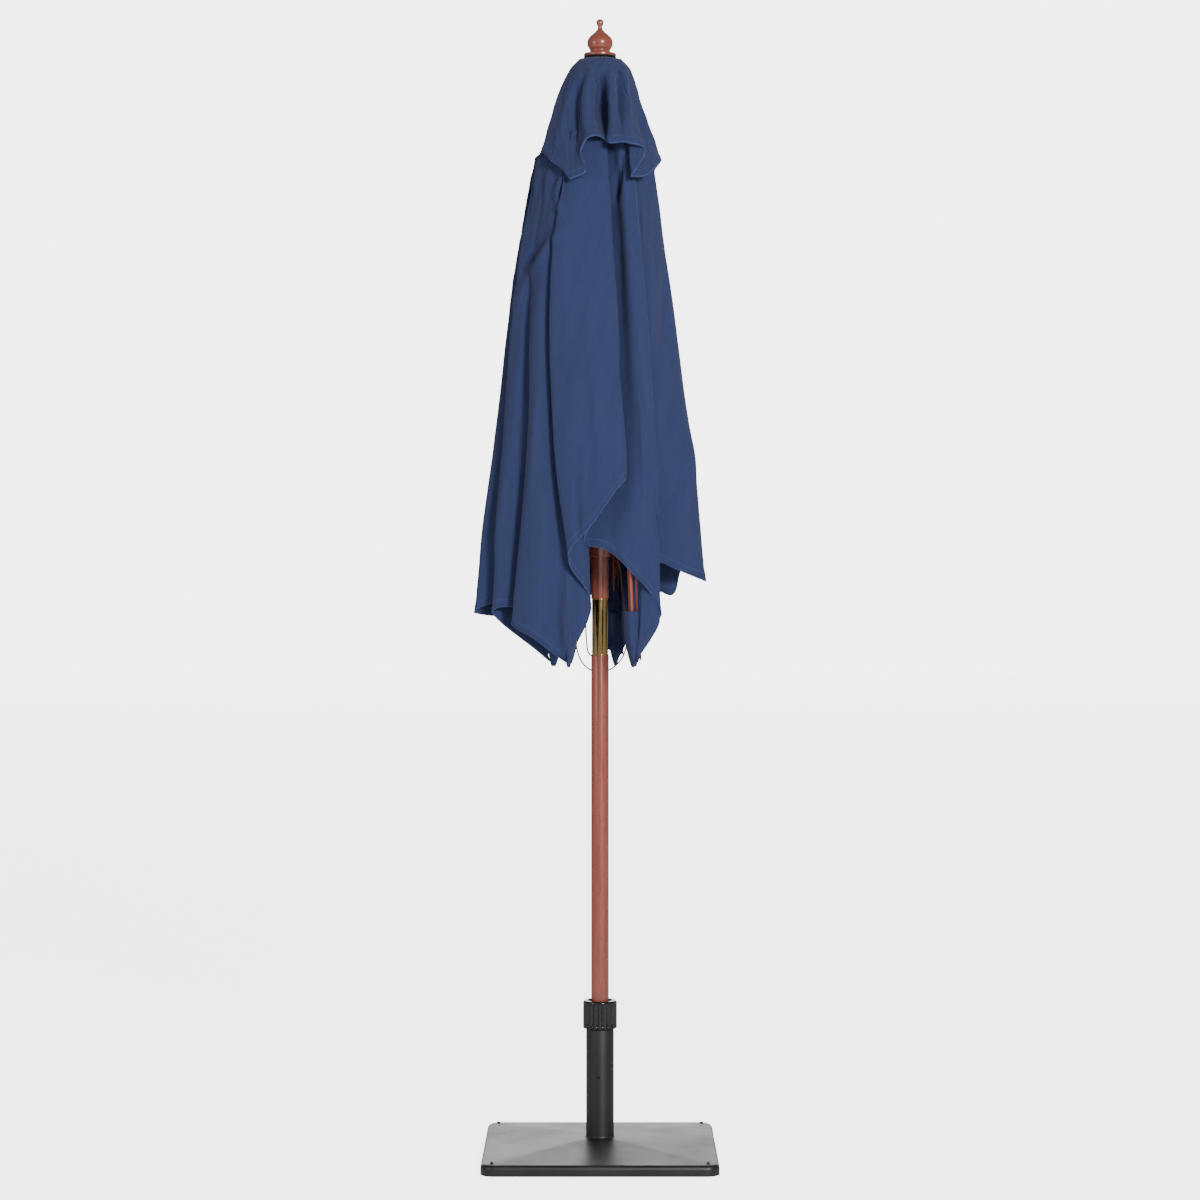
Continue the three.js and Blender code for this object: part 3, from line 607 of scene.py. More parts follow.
# ---------------------------------------------------------------- stage and camera
class MakeStage(bpy.types.Operator):
    """Makes the pale floor, the soft studio light and the camera"""
    bl_idname = "umbrella.make_stage"
    bl_label = "Stage"

    ambient: FloatProperty(name="Ambient", description="Strength of the light from all round", default=0.26)
    backdrop: FloatProperty(name="Backdrop", description="Brightness of the backdrop as seen", default=5.0)
    glow: FloatProperty(name="Glow", description="Brightness added to the floor as seen", default=3.6)

    def execute(self, context):
        view_width = 2.58
        distance = 6.75
        eye, middle = 1.33, 1.1975
        data = bpy.data.cameras.new("camera")
        data.lens = data.sensor_width * distance / view_width
        camera = bpy.data.objects.new("camera", data)
        camera.location = (0, -distance, eye)
        camera.rotation_euler = (math.pi / 2 - math.atan((eye - middle) / distance), 0, 0)
        bpy.context.collection.objects.link(camera)
        bpy.context.scene.camera = camera
        clear_selection()
        bpy.ops.mesh.primitive_plane_add(size=50, location=(0, 0, 0))
        floor = bpy.context.object
        floor.name = "floor"
        finish = Finish("floor", tuple(colours().floor))
        finish.feed(Roughness=0.8 + finish.noise(finish.place(), 3.0) * 0.1)
        floor.data.materials.append(self.glowing(finish.material))
        world = bpy.data.worlds.new("studio")
        world.use_nodes = True
        tree = world.node_tree
        soft = tree.nodes["Background"]
        soft.inputs["Color"].default_value = (1, 1, 1, 1)
        soft.inputs["Strength"].default_value = self.ambient
        backdrop = tree.nodes.new("ShaderNodeBackground")
        backdrop.inputs["Color"].default_value = (1, 1, 1, 1)
        backdrop.inputs["Strength"].default_value = self.backdrop
        seen = tree.nodes.new("ShaderNodeLightPath")
        mix = tree.nodes.new("ShaderNodeMixShader")
        tree.links.new(seen.outputs["Is Camera Ray"], mix.inputs["Fac"])
        tree.links.new(soft.outputs["Background"], mix.inputs[1])
        tree.links.new(backdrop.outputs["Background"], mix.inputs[2])
        tree.links.new(mix.outputs["Shader"], tree.nodes["World Output"].inputs["Surface"])
        bpy.context.scene.world = world
        self.lamp("key", (2.1, -4.9, 3.1), 1.1, 310)
        self.lamp("fill", (-3.9, -3.0, 2.4), 1.5, 50)
        self.lamp("back", (0, 27, 6.5), 21.0, 4000)
        return {"FINISHED"}

    def glowing(self, material):
        """The floor's material with a glow that only the camera sees, so it meets the backdrop."""
        tree = material.node_tree
        output = next(node for node in tree.nodes if node.type == "OUTPUT_MATERIAL")
        surface = output.inputs["Surface"].links[0].from_socket
        glow = tree.nodes.new("ShaderNodeEmission")
        glow.inputs["Strength"].default_value = self.glow
        both = tree.nodes.new("ShaderNodeAddShader")
        mix = tree.nodes.new("ShaderNodeMixShader")
        seen = tree.nodes.new("ShaderNodeLightPath")
        tree.links.new(surface, both.inputs[0])
        tree.links.new(glow.outputs["Emission"], both.inputs[1])
        tree.links.new(seen.outputs["Is Camera Ray"], mix.inputs["Fac"])
        tree.links.new(surface, mix.inputs[1])
        tree.links.new(both.outputs["Shader"], mix.inputs[2])
        tree.links.new(mix.outputs["Shader"], output.inputs["Surface"])
        return material

    def lamp(self, name, place, size, power):
        data = bpy.data.lights.new(name, "AREA")
        data.energy = power
        data.size = size
        lamp = bpy.data.objects.new(name, data)
        lamp.location = place
        aim = Vector((0, 0, 1.3)) - lamp.location
        lamp.rotation_euler = aim.to_track_quat("-Z", "Y").to_euler()
        lamp.visible_camera = False
        bpy.context.collection.objects.link(lamp)


# ---------------------------------------------------------------- base
class MakeBase(bpy.types.Operator):
    """Makes the plate's cover, its ballast, feet and corner screws"""
    bl_idname = "umbrella.make_base"
    bl_label = "Base plate"

    corner: FloatProperty(name="Corner", description="Radius of the plate's corners", default=0.03,
                          unit="LENGTH")
    roll: FloatProperty(name="Edge", description="Rounding of the plate's upper edge", default=0.01,
                        unit="LENGTH")
    crown: FloatProperty(name="Crown", description="Half side of the flat top", default=0.042, unit="LENGTH")
    rise: FloatProperty(name="Rise", description="Rise of the plate to its flat top", default=0.014,
                        unit="LENGTH")
    sheet: FloatProperty(name="Sheet", description="Thickness of the pressed cover", default=0.0019,
                         unit="LENGTH")

    def execute(self, context):
        finished(self.cover(), "base", "powder_coat", "base_cover")
        finished(eased("plate_ballast", "base_ballast", 0.001), "base", "concrete", "base_ballast")
        for k in range(1, 5):
            finished(self.foot(f"base_foot_{k}"), "base", "rubber", f"base_foot_{k}")
            finished(self.screw(f"cover_screw_{k}"), "base", "black_steel", f"cover_screw_{k}")
        return {"FINISHED"}

    def cover(self):
        low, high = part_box("base_cover")
        side = high[0] - low[0]
        edge_top = high[2] - self.rise
        clear_selection()
        bpy.ops.mesh.primitive_cube_add(size=1, location=(0, 0, (low[2] + edge_top) / 2),
                                        scale=(side, side, edge_top - low[2]))
        obj = bpy.context.object
        obj.name = obj.data.name = "plate_cover"
        bpy.ops.object.transform_apply(location=True, rotation=True, scale=True)
        edit()
        self.pick(obj, lambda a, b: abs(a.z - b.z) > 0.01)
        bpy.ops.mesh.bevel(offset=self.corner, segments=14, affect="EDGES")
        self.pick(obj, lambda a, b: min(a.z, b.z) > edge_top - 1e-5)
        bpy.ops.mesh.bevel(offset=self.roll, segments=6, affect="EDGES")
        pick_faces(obj, lambda face: face.normal.z > 0.999)
        bpy.ops.mesh.extrude_region_move(TRANSFORM_OT_translate={"value": (0, 0, self.rise)})
        shrink = self.crown / (side / 2 - self.roll)
        bpy.ops.transform.resize(value=(shrink, shrink, 1), center_override=(0, 0, high[2]))
        pick_faces(obj, lambda face: face.normal.z < -0.999)
        bpy.ops.mesh.delete(type="FACE")
        bpy.ops.object.mode_set(mode="OBJECT")
        modify(obj, "SOLIDIFY", thickness=self.sheet, offset=-1)
        settle(obj, 30)
        for face in obj.data.polygons:
            face.use_smooth = abs(face.normal.z) < 0.99
        return obj

    def pick(self, obj, wanted):
        """Selects the edges whose two ends pass a test."""
        bpy.ops.mesh.select_mode(type="EDGE")
        mesh = bmesh.from_edit_mesh(obj.data)
        for edge in mesh.edges:
            edge.select_set(wanted(edge.verts[0].co, edge.verts[1].co))
        bmesh.update_edit_mesh(obj.data)

    def foot(self, node):
        low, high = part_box(node)
        radius = (high[0] - low[0]) / 2
        bulge = 0.001
        outline = [(0, high[2]), (radius - 0.002, high[2]), (radius, high[2] - 0.001),
                   *arc((radius - bulge, low[2] + bulge), bulge, 0, -90, 4),
                   (radius - 0.005, low[2]), (radius - 0.0055, low[2] + 0.0006),
                   (radius - 0.0075, low[2] + 0.0006), (radius - 0.008, low[2]), (0, low[2])]
        return spun(node + "_pad", outline, self.middle(low, high), 48)

    def screw(self, node):
        low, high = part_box(node)
        radius = (high[0] - low[0]) / 2
        crown = high[2]
        outline = [(0, crown - 0.0012), (0.0011, crown - 0.0012), (0.0013, crown - 0.0001),
                   (0.0024, crown - 0.0003), (radius * 0.93, crown - 0.0009), (radius, crown - 0.0021),
                   (radius * 0.5, crown - 0.0021), (radius * 0.5, low[2] + 0.002), (0.0006, low[2]),
                   (0, low[2])]
        return spun(node + "_pan", outline, self.middle(low, high), 24)

    def middle(self, low, high):
        return ((low[0] + high[0]) / 2, (low[1] + high[1]) / 2)


class MakeTube(bpy.types.Operator):
    """Makes the pole tube, its weld, its clamp collar, the split sleeve and the fixings"""
    bl_idname = "umbrella.make_tube"
    bl_label = "Tube and clamp"

    wall: FloatProperty(name="Wall", description="Wall of the tube", default=0.0024, unit="LENGTH")
    flutes: IntProperty(name="Flutes", description="Grip flutes round the collar", default=20)
    flute: FloatProperty(name="Flute depth", description="Depth of a grip flute", default=0.0026,
                         unit="LENGTH")
    mouth: FloatProperty(name="Mouth", description="Radius of the collar's mouth", default=0.0265,
                         unit="LENGTH")

    def execute(self, context):
        low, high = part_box("base_tube")
        radius = high[0]
        bore = radius - self.wall
        bead = 0.004
        lip = self.wall / 2
        outline = [(bore, low[2] + 0.006), *arc((bore + lip, high[2] - lip), lip, 180, 0, 6),
                   (radius, low[2] + bead), *arc((radius + bead, low[2] + bead), bead, 180, 240, 3),
                   (radius + bead * 0.8, low[2]), (0.0056, low[2]), (0.0056, low[2] + 0.006),
                   (bore, low[2] + 0.006)]
        pipe = spun("pole_tube", outline)
        self.bore_for_screw(pipe)
        finished(pipe, "base", "powder_coat", "base_tube")
        finished(self.collar(), "clamp_collar", "black_plastic", "clamp_collar")
        finished(eased("split_sleeve", "collet_sleeve", 0.0003), "base", "black_plastic", "collet_sleeve")
        finished(self.grub_screw(), "tube_screw", "black_steel", "tube_screw")
        finished(eased("plate_bolt", "tube_bolt", 0.0005), "base", "zinc_steel", "tube_bolt")
        finished(eased("plate_nut", "tube_nut", 0.0005), "base", "zinc_steel", "tube_nut")
        return {"FINISHED"}

    def screw_line(self):
        """The side screw's middle and the direction that it points out in."""
        low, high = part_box("tube_screw")
        middle = (Vector(low) + Vector(high)) / 2
        return middle, Vector((middle.x, middle.y, 0)).normalized()

    def rod(self, name, radius, length, middle, direction, sides=32):
        clear_selection()
        bpy.ops.mesh.primitive_cylinder_add(vertices=sides, radius=radius, depth=length, location=middle,
                                            rotation=direction.to_track_quat("Z", "Y").to_euler())
        obj = bpy.context.object
        obj.name = obj.data.name = name
        bpy.ops.object.transform_apply(location=True, rotation=True, scale=True)
        return obj

    def bore_for_screw(self, pipe):
        middle, direction = self.screw_line()
        drill = self.rod("drill", 0.0034, 0.03, middle + direction * 0.004, direction)
        clear_selection()
        pipe.select_set(True)
        bpy.context.view_layer.objects.active = pipe
        modify(pipe, "BOOLEAN", operation="DIFFERENCE", solver="EXACT", object=drill)
        bpy.data.objects.remove(drill)
        settle(pipe)

    def grub_screw(self):
        middle, direction = self.screw_line()
        length = 0.0108
        obj = self.rod("side_screw", 0.003, length, middle, direction, 30)
        edit()
        pick_faces(obj, lambda face: face.normal.dot(direction) > 0.99)
        bpy.ops.mesh.inset(thickness=0.0004)
        bpy.ops.mesh.inset(thickness=0.0009)
        bpy.ops.mesh.extrude_region_move(TRANSFORM_OT_translate={"value": -0.0022 * direction})
        return settle(obj, 30)

    def collar(self):
        low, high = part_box("clamp_collar")
        radius = high[0]
        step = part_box("base_tube")[1][2] + 0.006
        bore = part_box("base_tube")[1][0] + 0.0004
        outline = [(bore, low[2]), (radius - 0.002, low[2]),
                   *arc((radius - 0.002, low[2] + 0.002), 0.002, -90, 0, 5),
                   (radius, low[2] + 0.006)]
        outline += [(radius, z) for z in np.linspace(low[2] + 0.008, high[2] - 0.01, 9)]
        outline += [(radius, high[2] - 0.008), *arc((radius - 0.004, high[2] - 0.004), 0.004, 0, 90, 6),
                    (self.mouth + 0.001, high[2]),
                    *arc((self.mouth + 0.001, high[2] - 0.001), 0.001, 90, 180, 3),
                    (self.mouth, step), (bore, step), (bore, low[2])]
        obj = spun("grip_collar", outline, sides=self.flutes * 10, angle=40)
        for vertex in obj.data.vertices:
            x, y, z = vertex.co
            r = math.hypot(x, y)
            if r < radius - 0.0025:
                continue
            wave = math.cos(self.flutes * math.atan2(y, x))
            groove = max(0.0, -wave) ** 0.7 * self.flute
            fade = min(1.0, max(0.0, (z - low[2] - 0.003) / 0.004), max(0.0, (high[2] - 0.005 - z) / 0.004))
            vertex.co.x *= 1 - groove * fade / r
            vertex.co.y *= 1 - groove * fade / r
        return obj


# ---------------------------------------------------------------- pole and finial
class MakePole(bpy.types.Operator):
    """Makes both halves of the pole and the brass ferrule that joins them"""
    bl_idname = "umbrella.make_pole"
    bl_label = "Pole"

    chamfer: FloatProperty(name="Chamfer", description="Chamfer on the pole's foot", default=0.003,
                           unit="LENGTH")
    tenon: FloatProperty(name="Tenon", description="Radius of the ends inside the ferrule",
                         default=0.0164, unit="LENGTH")
    bead: FloatProperty(name="Bead", description="Radius of the ferrule's rolled ends", default=0.0009,
                        unit="LENGTH")

    def execute(self, context):
        low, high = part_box("lower_pole")
        radius = high[0]
        ferrule_low, ferrule_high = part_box("ferrule")
        shoulder = ferrule_low[2] - 0.0003
        ease = 0.001
        outline = [(0, low[2]), (radius - self.chamfer, low[2]), (radius, low[2] + self.chamfer),
                   *arc((radius - ease, shoulder - ease), ease, 0, 90, 4),
                   (self.tenon, shoulder), (self.tenon, high[2]), (0, high[2])]
        finished(spun("pole_lower", outline), "lower_pole", "stained_wood", "lower_pole")
        finished(eased("pole_upper", "upper_pole", 0.0004), "upper_pole", "stained_wood", "upper_pole")
        outside = ferrule_high[0]
        bore = self.tenon + 0.0003
        bead = self.bead
        wall = outside - bead * 0.6
        outline = [(bore, ferrule_low[2]), *arc((wall, ferrule_low[2] + bead), bead, -90, 90, 8),
                   (wall, ferrule_low[2] + 2.4 * bead), (wall, ferrule_high[2] - 2.4 * bead),
                   *arc((wall, ferrule_high[2] - bead), bead, -90, 90, 8),
                   (bore, ferrule_high[2]), (bore, ferrule_low[2])]
        finished(spun("pole_ferrule", outline, sides=128), "lower_pole", "brass", "ferrule")
        return {"FINISHED"}


ONION = [(.026, .007), (.0232, .0085), (.0215, .0115), (.0222, .0145), (.0252, .0185), (.0272, .0245),
         (.0276, .030), (.0262, .0362), (.0222, .0422), (.0162, .048), (.0102, .053), (.0064, .0575),
         (.0048, .0618), (.0052, .065), (.0072, .068), (.008, .0722), (.0072, .0762), (.0044, .0792),
         (0, .080)]


class MakeFinial(bpy.types.Operator):
    """Makes the turned finial, its washer and its threaded rod"""
    bl_idname = "umbrella.make_finial"
    bl_label = "Finial"

    def execute(self, context):
        low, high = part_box("finial")
        radius = high[0]
        body = through([(r, 0, z) for r, z in ONION], 0.0014)
        outline = [(0.0043, low[2] + 0.021), (0.0043, low[2]), (radius - 0.002, low[2]),
                   *arc((radius - 0.0022, low[2] + 0.0022), 0.0022, -70, 0, 4),
                   *arc((radius - 0.0028, low[2] + 0.004), 0.0028, 0, 80, 5),
                   *[(x, low[2] + z) for x, _, z in body]]
        outline = [(0, low[2] + 0.021)] + outline
        finished(spun("turned_finial", outline), "finial", "turned_wood", "finial")
        low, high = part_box("finial_washer")
        outline = [(0.0043, low[2]), *arc((high[0] - 0.0008, low[2] + 0.0008), 0.0008, -90, 0, 3),
                   *arc((high[0] - 0.0008, high[2] - 0.0008), 0.0008, 0, 90, 3), (0.0043, high[2]),
                   (0.0043, low[2])]
        finished(spun("flange_washer", outline), "upper_pole", "rubber", "finial_washer")
        finished(self.thread(), "upper_pole", "zinc_steel", "finial_rod")
        return {"FINISHED"}

    def thread(self):
        """The rod with its thread as close rings."""
        low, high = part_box("finial_rod")
        radius = high[0]
        pitch = 0.00125
        outline = [(0, low[2])]
        z = low[2]
        while z < high[2] - pitch:
            outline += [(radius - 0.0007, z), (radius, z + pitch / 2)]
            z += pitch
        outline += [(radius - 0.0007, z), (0, high[2])]
        return spun("finial_stud", outline, sides=24, angle=20)


# ---------------------------------------------------------------- frame
POINT_FROM, POINT_RUN = 1.19, 0.05  # from a rib's pivot: where it starts to narrow, and over how much
POINT_SIDE, POINT_DEPTH, POINT_BACK = 0.7, 0.6, 0.35  # shares taken off its width, depth and end


class MakeFrame(bpy.types.Operator):
    """Makes the hub, the runner, the ribs, their brackets and stretchers, and the pulley"""
    bl_idname = "umbrella.make_frame"
    bl_label = "Frame"

    def execute(self, context):
        edge, burr = sizes().edge, sizes().burr
        finished(eased("hub_block", "top_hub", edge * 0.6), "upper_pole", "stained_wood", "top_hub")
        finished(eased("hub_wire", "hub_ring", burr), "upper_pole", "brass", "hub_ring")
        finished(eased("runner_block", "runner", edge * 0.6), "runner", "stained_wood", "runner")
        finished(eased("pulley_wheel", "pulley", burr), "pulley", "black_plastic", "pulley")
        finished(eased("pulley_axle", "pulley_pin", burr), "upper_pole", "brass", "pulley_pin")
        for k in range(1, RIBS + 1):
            arm = self.pointed(eased(f"rib_arm_{k}", f"rib_{k}", edge), k)
            finished(arm, f"rib_{k}", "stained_wood", f"rib_{k}")
            finished(eased(f"rib_bracket_{k}", f"bracket_{k}", burr), f"rib_{k}", "brass", f"bracket_{k}")
            finished(eased(f"stretcher_arm_{k}", f"stretcher_{k}", edge), f"stretcher_{k}", "stained_wood",
                     f"stretcher_{k}")
        return {"FINISHED"}

    def pointed(self, arm, k):
        """A rib with its last stretch, hidden in the cloth's pocket, narrowed to a blunt point."""
        pivot, along, normal, side = rib_directions(k)
        for vertex in arm.data.vertices:
            from_pivot = vertex.co - pivot
            down = from_pivot.dot(along)
            share = min(1.0, max(0.0, (down - POINT_FROM) / POINT_RUN))
            if share > 0:
                vertex.co -= side * from_pivot.dot(side) * POINT_SIDE * share
                vertex.co -= normal * from_pivot.dot(normal) * POINT_DEPTH * share
                vertex.co -= along * (down - POINT_FROM) * POINT_BACK
        return arm


# ---------------------------------------------------------------- canopy
# Each gore's folds in order round the pole, anticlockwise from above, in millimetres: where the fold
# runs at its top, at heights HIGH and LOW, and at its hem. One fold of each gore is marked as the
# place where its two halves part, each half going with the rib beside it.
HIGH, LOW = 1900, 1500
TOP = 2195
FOLDS = {
    1: [((-34, -70, TOP), (-36, -102), (-30, -112), (-18, -117, 1193)),
        ((-60, -84, TOP), (-104, -120), (-96, -140), (-70, -150, 1290)),
        ((-16, -84, TOP), (-28, -134), (-22, -160), (-20, -165, 1354)),
        ((12, -80, TOP), (30, -125), (54, -148), (50, -156, 1452)),
        ((8, -62, TOP), (6, -86), (-12, -108), (-34, -124, 1320), "part"),
        ((26, -62, TOP), (42, -92), (42, -118), (12, -130, 1306)),
        ((40, -76, TOP), (62, -117), (78, -134), (53, -142, 1272)),
        ((68, -66, TOP), (92, -106), (120, -122), (128, -112, 1168))],
    2: [((70, -52, TOP), (98, -84), (118, -98), (122, -92, 1277)),
        ((88, -42, 2170), (120, -66), (146, -84), (158, -80, 1266)),
        ((114, -20, 2140), (147, -28), (201, -36), (227, -40, 1238)),
        ((94, -6, 2160), (118, -8), (150, -6), (178, -4, 1266)),
        ((82, 2, TOP), (104, 4), (128, 0), (156, -10, 1208)),
        ((76, 6, TOP), (96, 8), (108, 8), (124, 4, 1214), "part")],
    3: [((82, 26, TOP), (104, 36), (122, 54), (128, 60, 1226)),
        ((66, 42, TOP), (84, 56), (88, 64), (94, 68, 1150), "part"),
        ((68, 64, TOP), (92, 90), (102, 112), (104, 118, 1196))],
    4: [((42, 76, TOP), (58, 108), (70, 142), (72, 156, 1192)),
        ((22, 66, TOP), (20, 88), (16, 92), (4, 50, 1100)),
        ((20, 64, TOP), (22, 84), (24, 88), (50, 26, 1080)),
        ((18, 68, TOP), (18, 92), (14, 100), (6, 60, 1110), "part"),
        ((-12, 82, TOP), (-14, 122), (-14, 162), (-18, 176, 1208)),
        ((-26, 70, TOP), (-36, 94), (-44, 110), (-48, 112, 1160))],
    5: [((-62, 66, TOP), (-98, 98), (-132, 126), (-154, 138, 1186)),
        ((-66, 42, TOP), (-90, 56), (-110, 66), (-122, 64, 1160)),
        ((-140, -8, 2144), (-184, -8), (-232, -14), (-272, -22, 1172)),
        ((-118, -12, 2144), (-152, -20), (-190, -32), (-232, -30, 1190)),
        ((-80, -8, TOP), (-104, -12), (-124, -14), (-150, -14, 1185), "part")],
    6: [((-134, -26, 2146), (-176, -38), (-210, -54), (-228, -62, 1175)),
        ((-106, -48, 2160), (-160, -54), (-178, -78), (-188, -72, 1184)),
        ((-92, -54, TOP), (-146, -62), (-140, -76), (-142, -66, 1170), "part"),
        ((-84, -62, TOP), (-138, -80), (-156, -102), (-188, -97, 1148)),
        ((-74, -70, TOP), (-120, -98), (-130, -122), (-140, -120, 1117)),
        ((-66, -84, TOP), (-96, -104), (-92, -116), (-88, -120, 1078))],
}
SEAM_DRIFT = {2: 0.022}  # how far a seam hangs beside its rib, low down
SEAM_OFF = 0.012  # from a rib's outer face to the seam
CALM_COLUMNS, CALM_POWER = 9, 6  # the cloth lies calm this many columns from a seam, near its hem

# Creases in the cloth that faces forward: from one (x, z) to another, half width, and how far the
# cloth stands out along them, in millimetres. CREASE_GAIN is a gain on all of them.
CREASE_GAIN = 1.4
CREASES = [
    ((-92, 1975), (-150, 1882), 9, 9), ((-150, 1882), (-178, 1825), 10, 7),
    ((-110, 1985), (-170, 1890), 9, -6), ((126, 1370), (146, 1402), 8, -7),
    ((146, 1402), (182, 1450), 8, -6), ((198, 1560), (201, 1330), 5, 4),
    ((201, 1330), (217, 1255), 6, 5), ((-66, 1088), (-86, 1190), 4, 3),
    ((-60, 1092), (-64, 1178), 4, -3), ((-54, 1100), (-36, 1186), 4, 3),
    ((-76, 1096), (-116, 1150), 5, 3), ((-118, 1144), (-86, 1172), 3, 2.5),
    ((-86, 1172), (-24, 1190), 3, 2.5), ((-46, 1470), (-46, 1326), 6, -4),
    ((-36, 1480), (-36, 1320), 5, 3), ((34, 1500), (40, 1440), 5, 3), ((-70, 2108), (-94, 2066), 5, 6),
    ((-94, 2066), (-84, 2014), 5, 5), ((-68, 2104), (-86, 2050), 4, -5), ((70, 2086), (82, 1960), 4, 4),
    ((90, 2050), (89, 1950), 4, 4), ((48, 2140), (34, 2050), 6, -9), ((-16, 1700), (-4, 1500), 9, 3),
    ((84, 1620), (96, 1400), 7, 4), ((-170, 1460), (-186, 1240), 6, -4),
    ((160, 1740), (176, 1560), 9, 4), ((-160, 1700), (-176, 1480), 8, -5),
    ((-132, 1660), (-150, 1420), 8, 5), ((-196, 1500), (-222, 1300), 6, 4),
    ((140, 1900), (132, 1720), 10, -5), ((4, 2300), (4, 2190), 10, -13),
    ((-20, 2325), (-32, 2200), 9, 11), ((22, 2320), (28, 2185), 9, 9), ((50, 2335), (66, 2180), 5, 5),
    ((40, 2320), (46, 2190), 7, -11), ((-48, 2320), (-92, 2170), 10, 6),
    ((-50, 2300), (-58, 2120), 9, -12), ((80, 2250), (100, 2170), 8, -5),
    ((-8, 2330), (-10, 2210), 5, -5), ((-150, 2120), (-160, 2000), 9, -6),
    ((-104, 2140), (-116, 2050), 6, 5),
]

# The vent cap's folds: where each runs at CAP_MID and at its hem.
CAP_START, CAP_SHOULDER, CAP_MID = (46, 2355), (67, 2332), 2250  # radius and height, and a height
CAP_SEAMS = {1: ((-66, -62), (-63, -124, 2085)), 2: ((54, -70), (66, -118, 2092)),
             3: ((78, 4), (112, 10, 2092)), 4: ((40, 66), (58, 100, 2090)),
             5: ((-42, 68), (-62, 108, 2090)), 6: ((-80, 4), (-118, 4, 2095))}
CAP_FOLDS = {
    1: [((-48, -76), (-31, -128, 2103)), ((-36, -72), (-43, -116, 2140)),
        ((-22, -92), (-28, -126, 2171)), ((-8, -92), (-9, -126, 2178)),
        ((3, -76), (10, -100, 2172), "part"), ((16, -90), (17, -122, 2163)),
        ((38, -92), (53, -124, 2163)), ((58, -80), (96, -104, 2150))],
    2: [((66, -62), (96, -96, 2096)), ((92, -26), (133, -28, 2138)), ((80, -8), (112, -4, 2110), "part")],
    3: [((84, 42), (120, 66, 2150)), ((66, 52), (92, 80, 2120), "part"), ((56, 80), (80, 116, 2160))],
    4: [((20, 94), (26, 132, 2155)), ((-4, 78), (-6, 112, 2125), "part"), ((-28, 92), (-36, 132, 2160))],
    5: [((-70, 70), (-104, 104, 2150)), ((-68, 46), (-98, 66, 2120), "part"), ((-92, 26), (-130, 34, 2155))],
    6: [((-99, -30), (-125, -44, 2150)), ((-88, -48), (-104, -84, 2130), "part"),
        ((-80, -56), (-78, -110, 2106))],
}


def hinge(name):
    return Vector(JOINTS[name]["pos_m"]), Vector(JOINTS[name]["axis"])


def rib_directions(k):
    """A closed rib's pivot, the direction it runs in, its outward side and its anticlockwise side."""
    pivot, axis = hinge(f"rib_{k}_swing")
    closed = OPEN_RIB - math.radians(JOINTS[f"rib_{k}_swing"]["range_deg"][1])
    outward = Vector((pivot.x, pivot.y, 0)).normalized()
    up = Vector((0, 0, 1))
    along = outward * math.sin(closed) - up * math.cos(closed)
    normal = outward * math.cos(closed) + up * math.sin(closed)
    return pivot, along, normal, up.cross(outward)


class Gores:
    """The closed canopy as one sheet: fold lines joined round the pole and cut into half gores."""

    def __init__(self, folds, seams, rows):
        self.rows = rows
        self.lines, self.marks = [], []
        for k in range(1, RIBS + 1):
            self.lines.append(seams[k])
            self.marks.append(("seam", k))
            for fold in folds[k]:
                self.lines.append(fold[0])
                self.marks.append(("part" if fold[1] else "", k))

    def sheet_points(self, spacing):
        """Points of the whole sheet, [row][place round the pole], and each fold's place."""
        lines = np.array(self.lines)
        count = len(lines)
        steps = []
        for j in range(count):
            gap = np.linalg.norm(lines[(j + 1) % count] - lines[j], axis=1).max()
            steps.append(int(np.clip(round(gap / spacing), 4, 26)))
        places = np.concatenate([[0], np.cumsum(steps)])
        grid = np.zeros((self.rows + 1, places[-1], 3))
        for j in range(count):
            p0, p1, p2, p3 = (lines[(j + d) % count] for d in (-1, 0, 1, 2))
            if self.marks[j][0] == "seam":
                p0 = 2 * p1 - p2
            if self.marks[(j + 1) % count][0] == "seam":
                p3 = 2 * p2 - p1
            for s in range(steps[j]):
                grid[:, places[j] + s] = self.between(p0, p1, p2, p3, s / steps[j])
        return grid, places[:-1]

    @staticmethod
    def between(p0, p1, p2, p3, t):
        """A centripetal curve from p1 to p2, for every row at once."""
        gaps = [np.sqrt(np.linalg.norm(b - a, axis=1))[:, None] + 1e-5
                for a, b in ((p0, p1), (p1, p2), (p2, p3))]
        t1 = gaps[0]
        t2 = t1 + gaps[1]
        t3 = t2 + gaps[2]
        u = t1 + (t2 - t1) * t
        a1 = p0 + (p1 - p0) * u / t1
        a2 = p1 + (p2 - p1) * (u - t1) / (t2 - t1)
        a3 = p2 + (p3 - p2) * (u - t2) / (t3 - t2)
        b1 = a1 + (a2 - a1) * u / t2
        b2 = a2 + (a3 - a2) * (u - t1) / (t3 - t1)
        return b1 + (b2 - b1) * (u - t1) / (t2 - t1)


def sheet_normals(grid, closed=True):
    """Outward normals of a sheet that runs round the pole."""
    down = np.gradient(grid, axis=0)
    if closed:
        around = np.roll(grid, -1, axis=1) - np.roll(grid, 1, axis=1)
    else:
        around = np.gradient(grid, axis=1)
    normals = np.cross(around, -down)
    return normals / (np.linalg.norm(normals, axis=2)[:, :, None] + 1e-12)


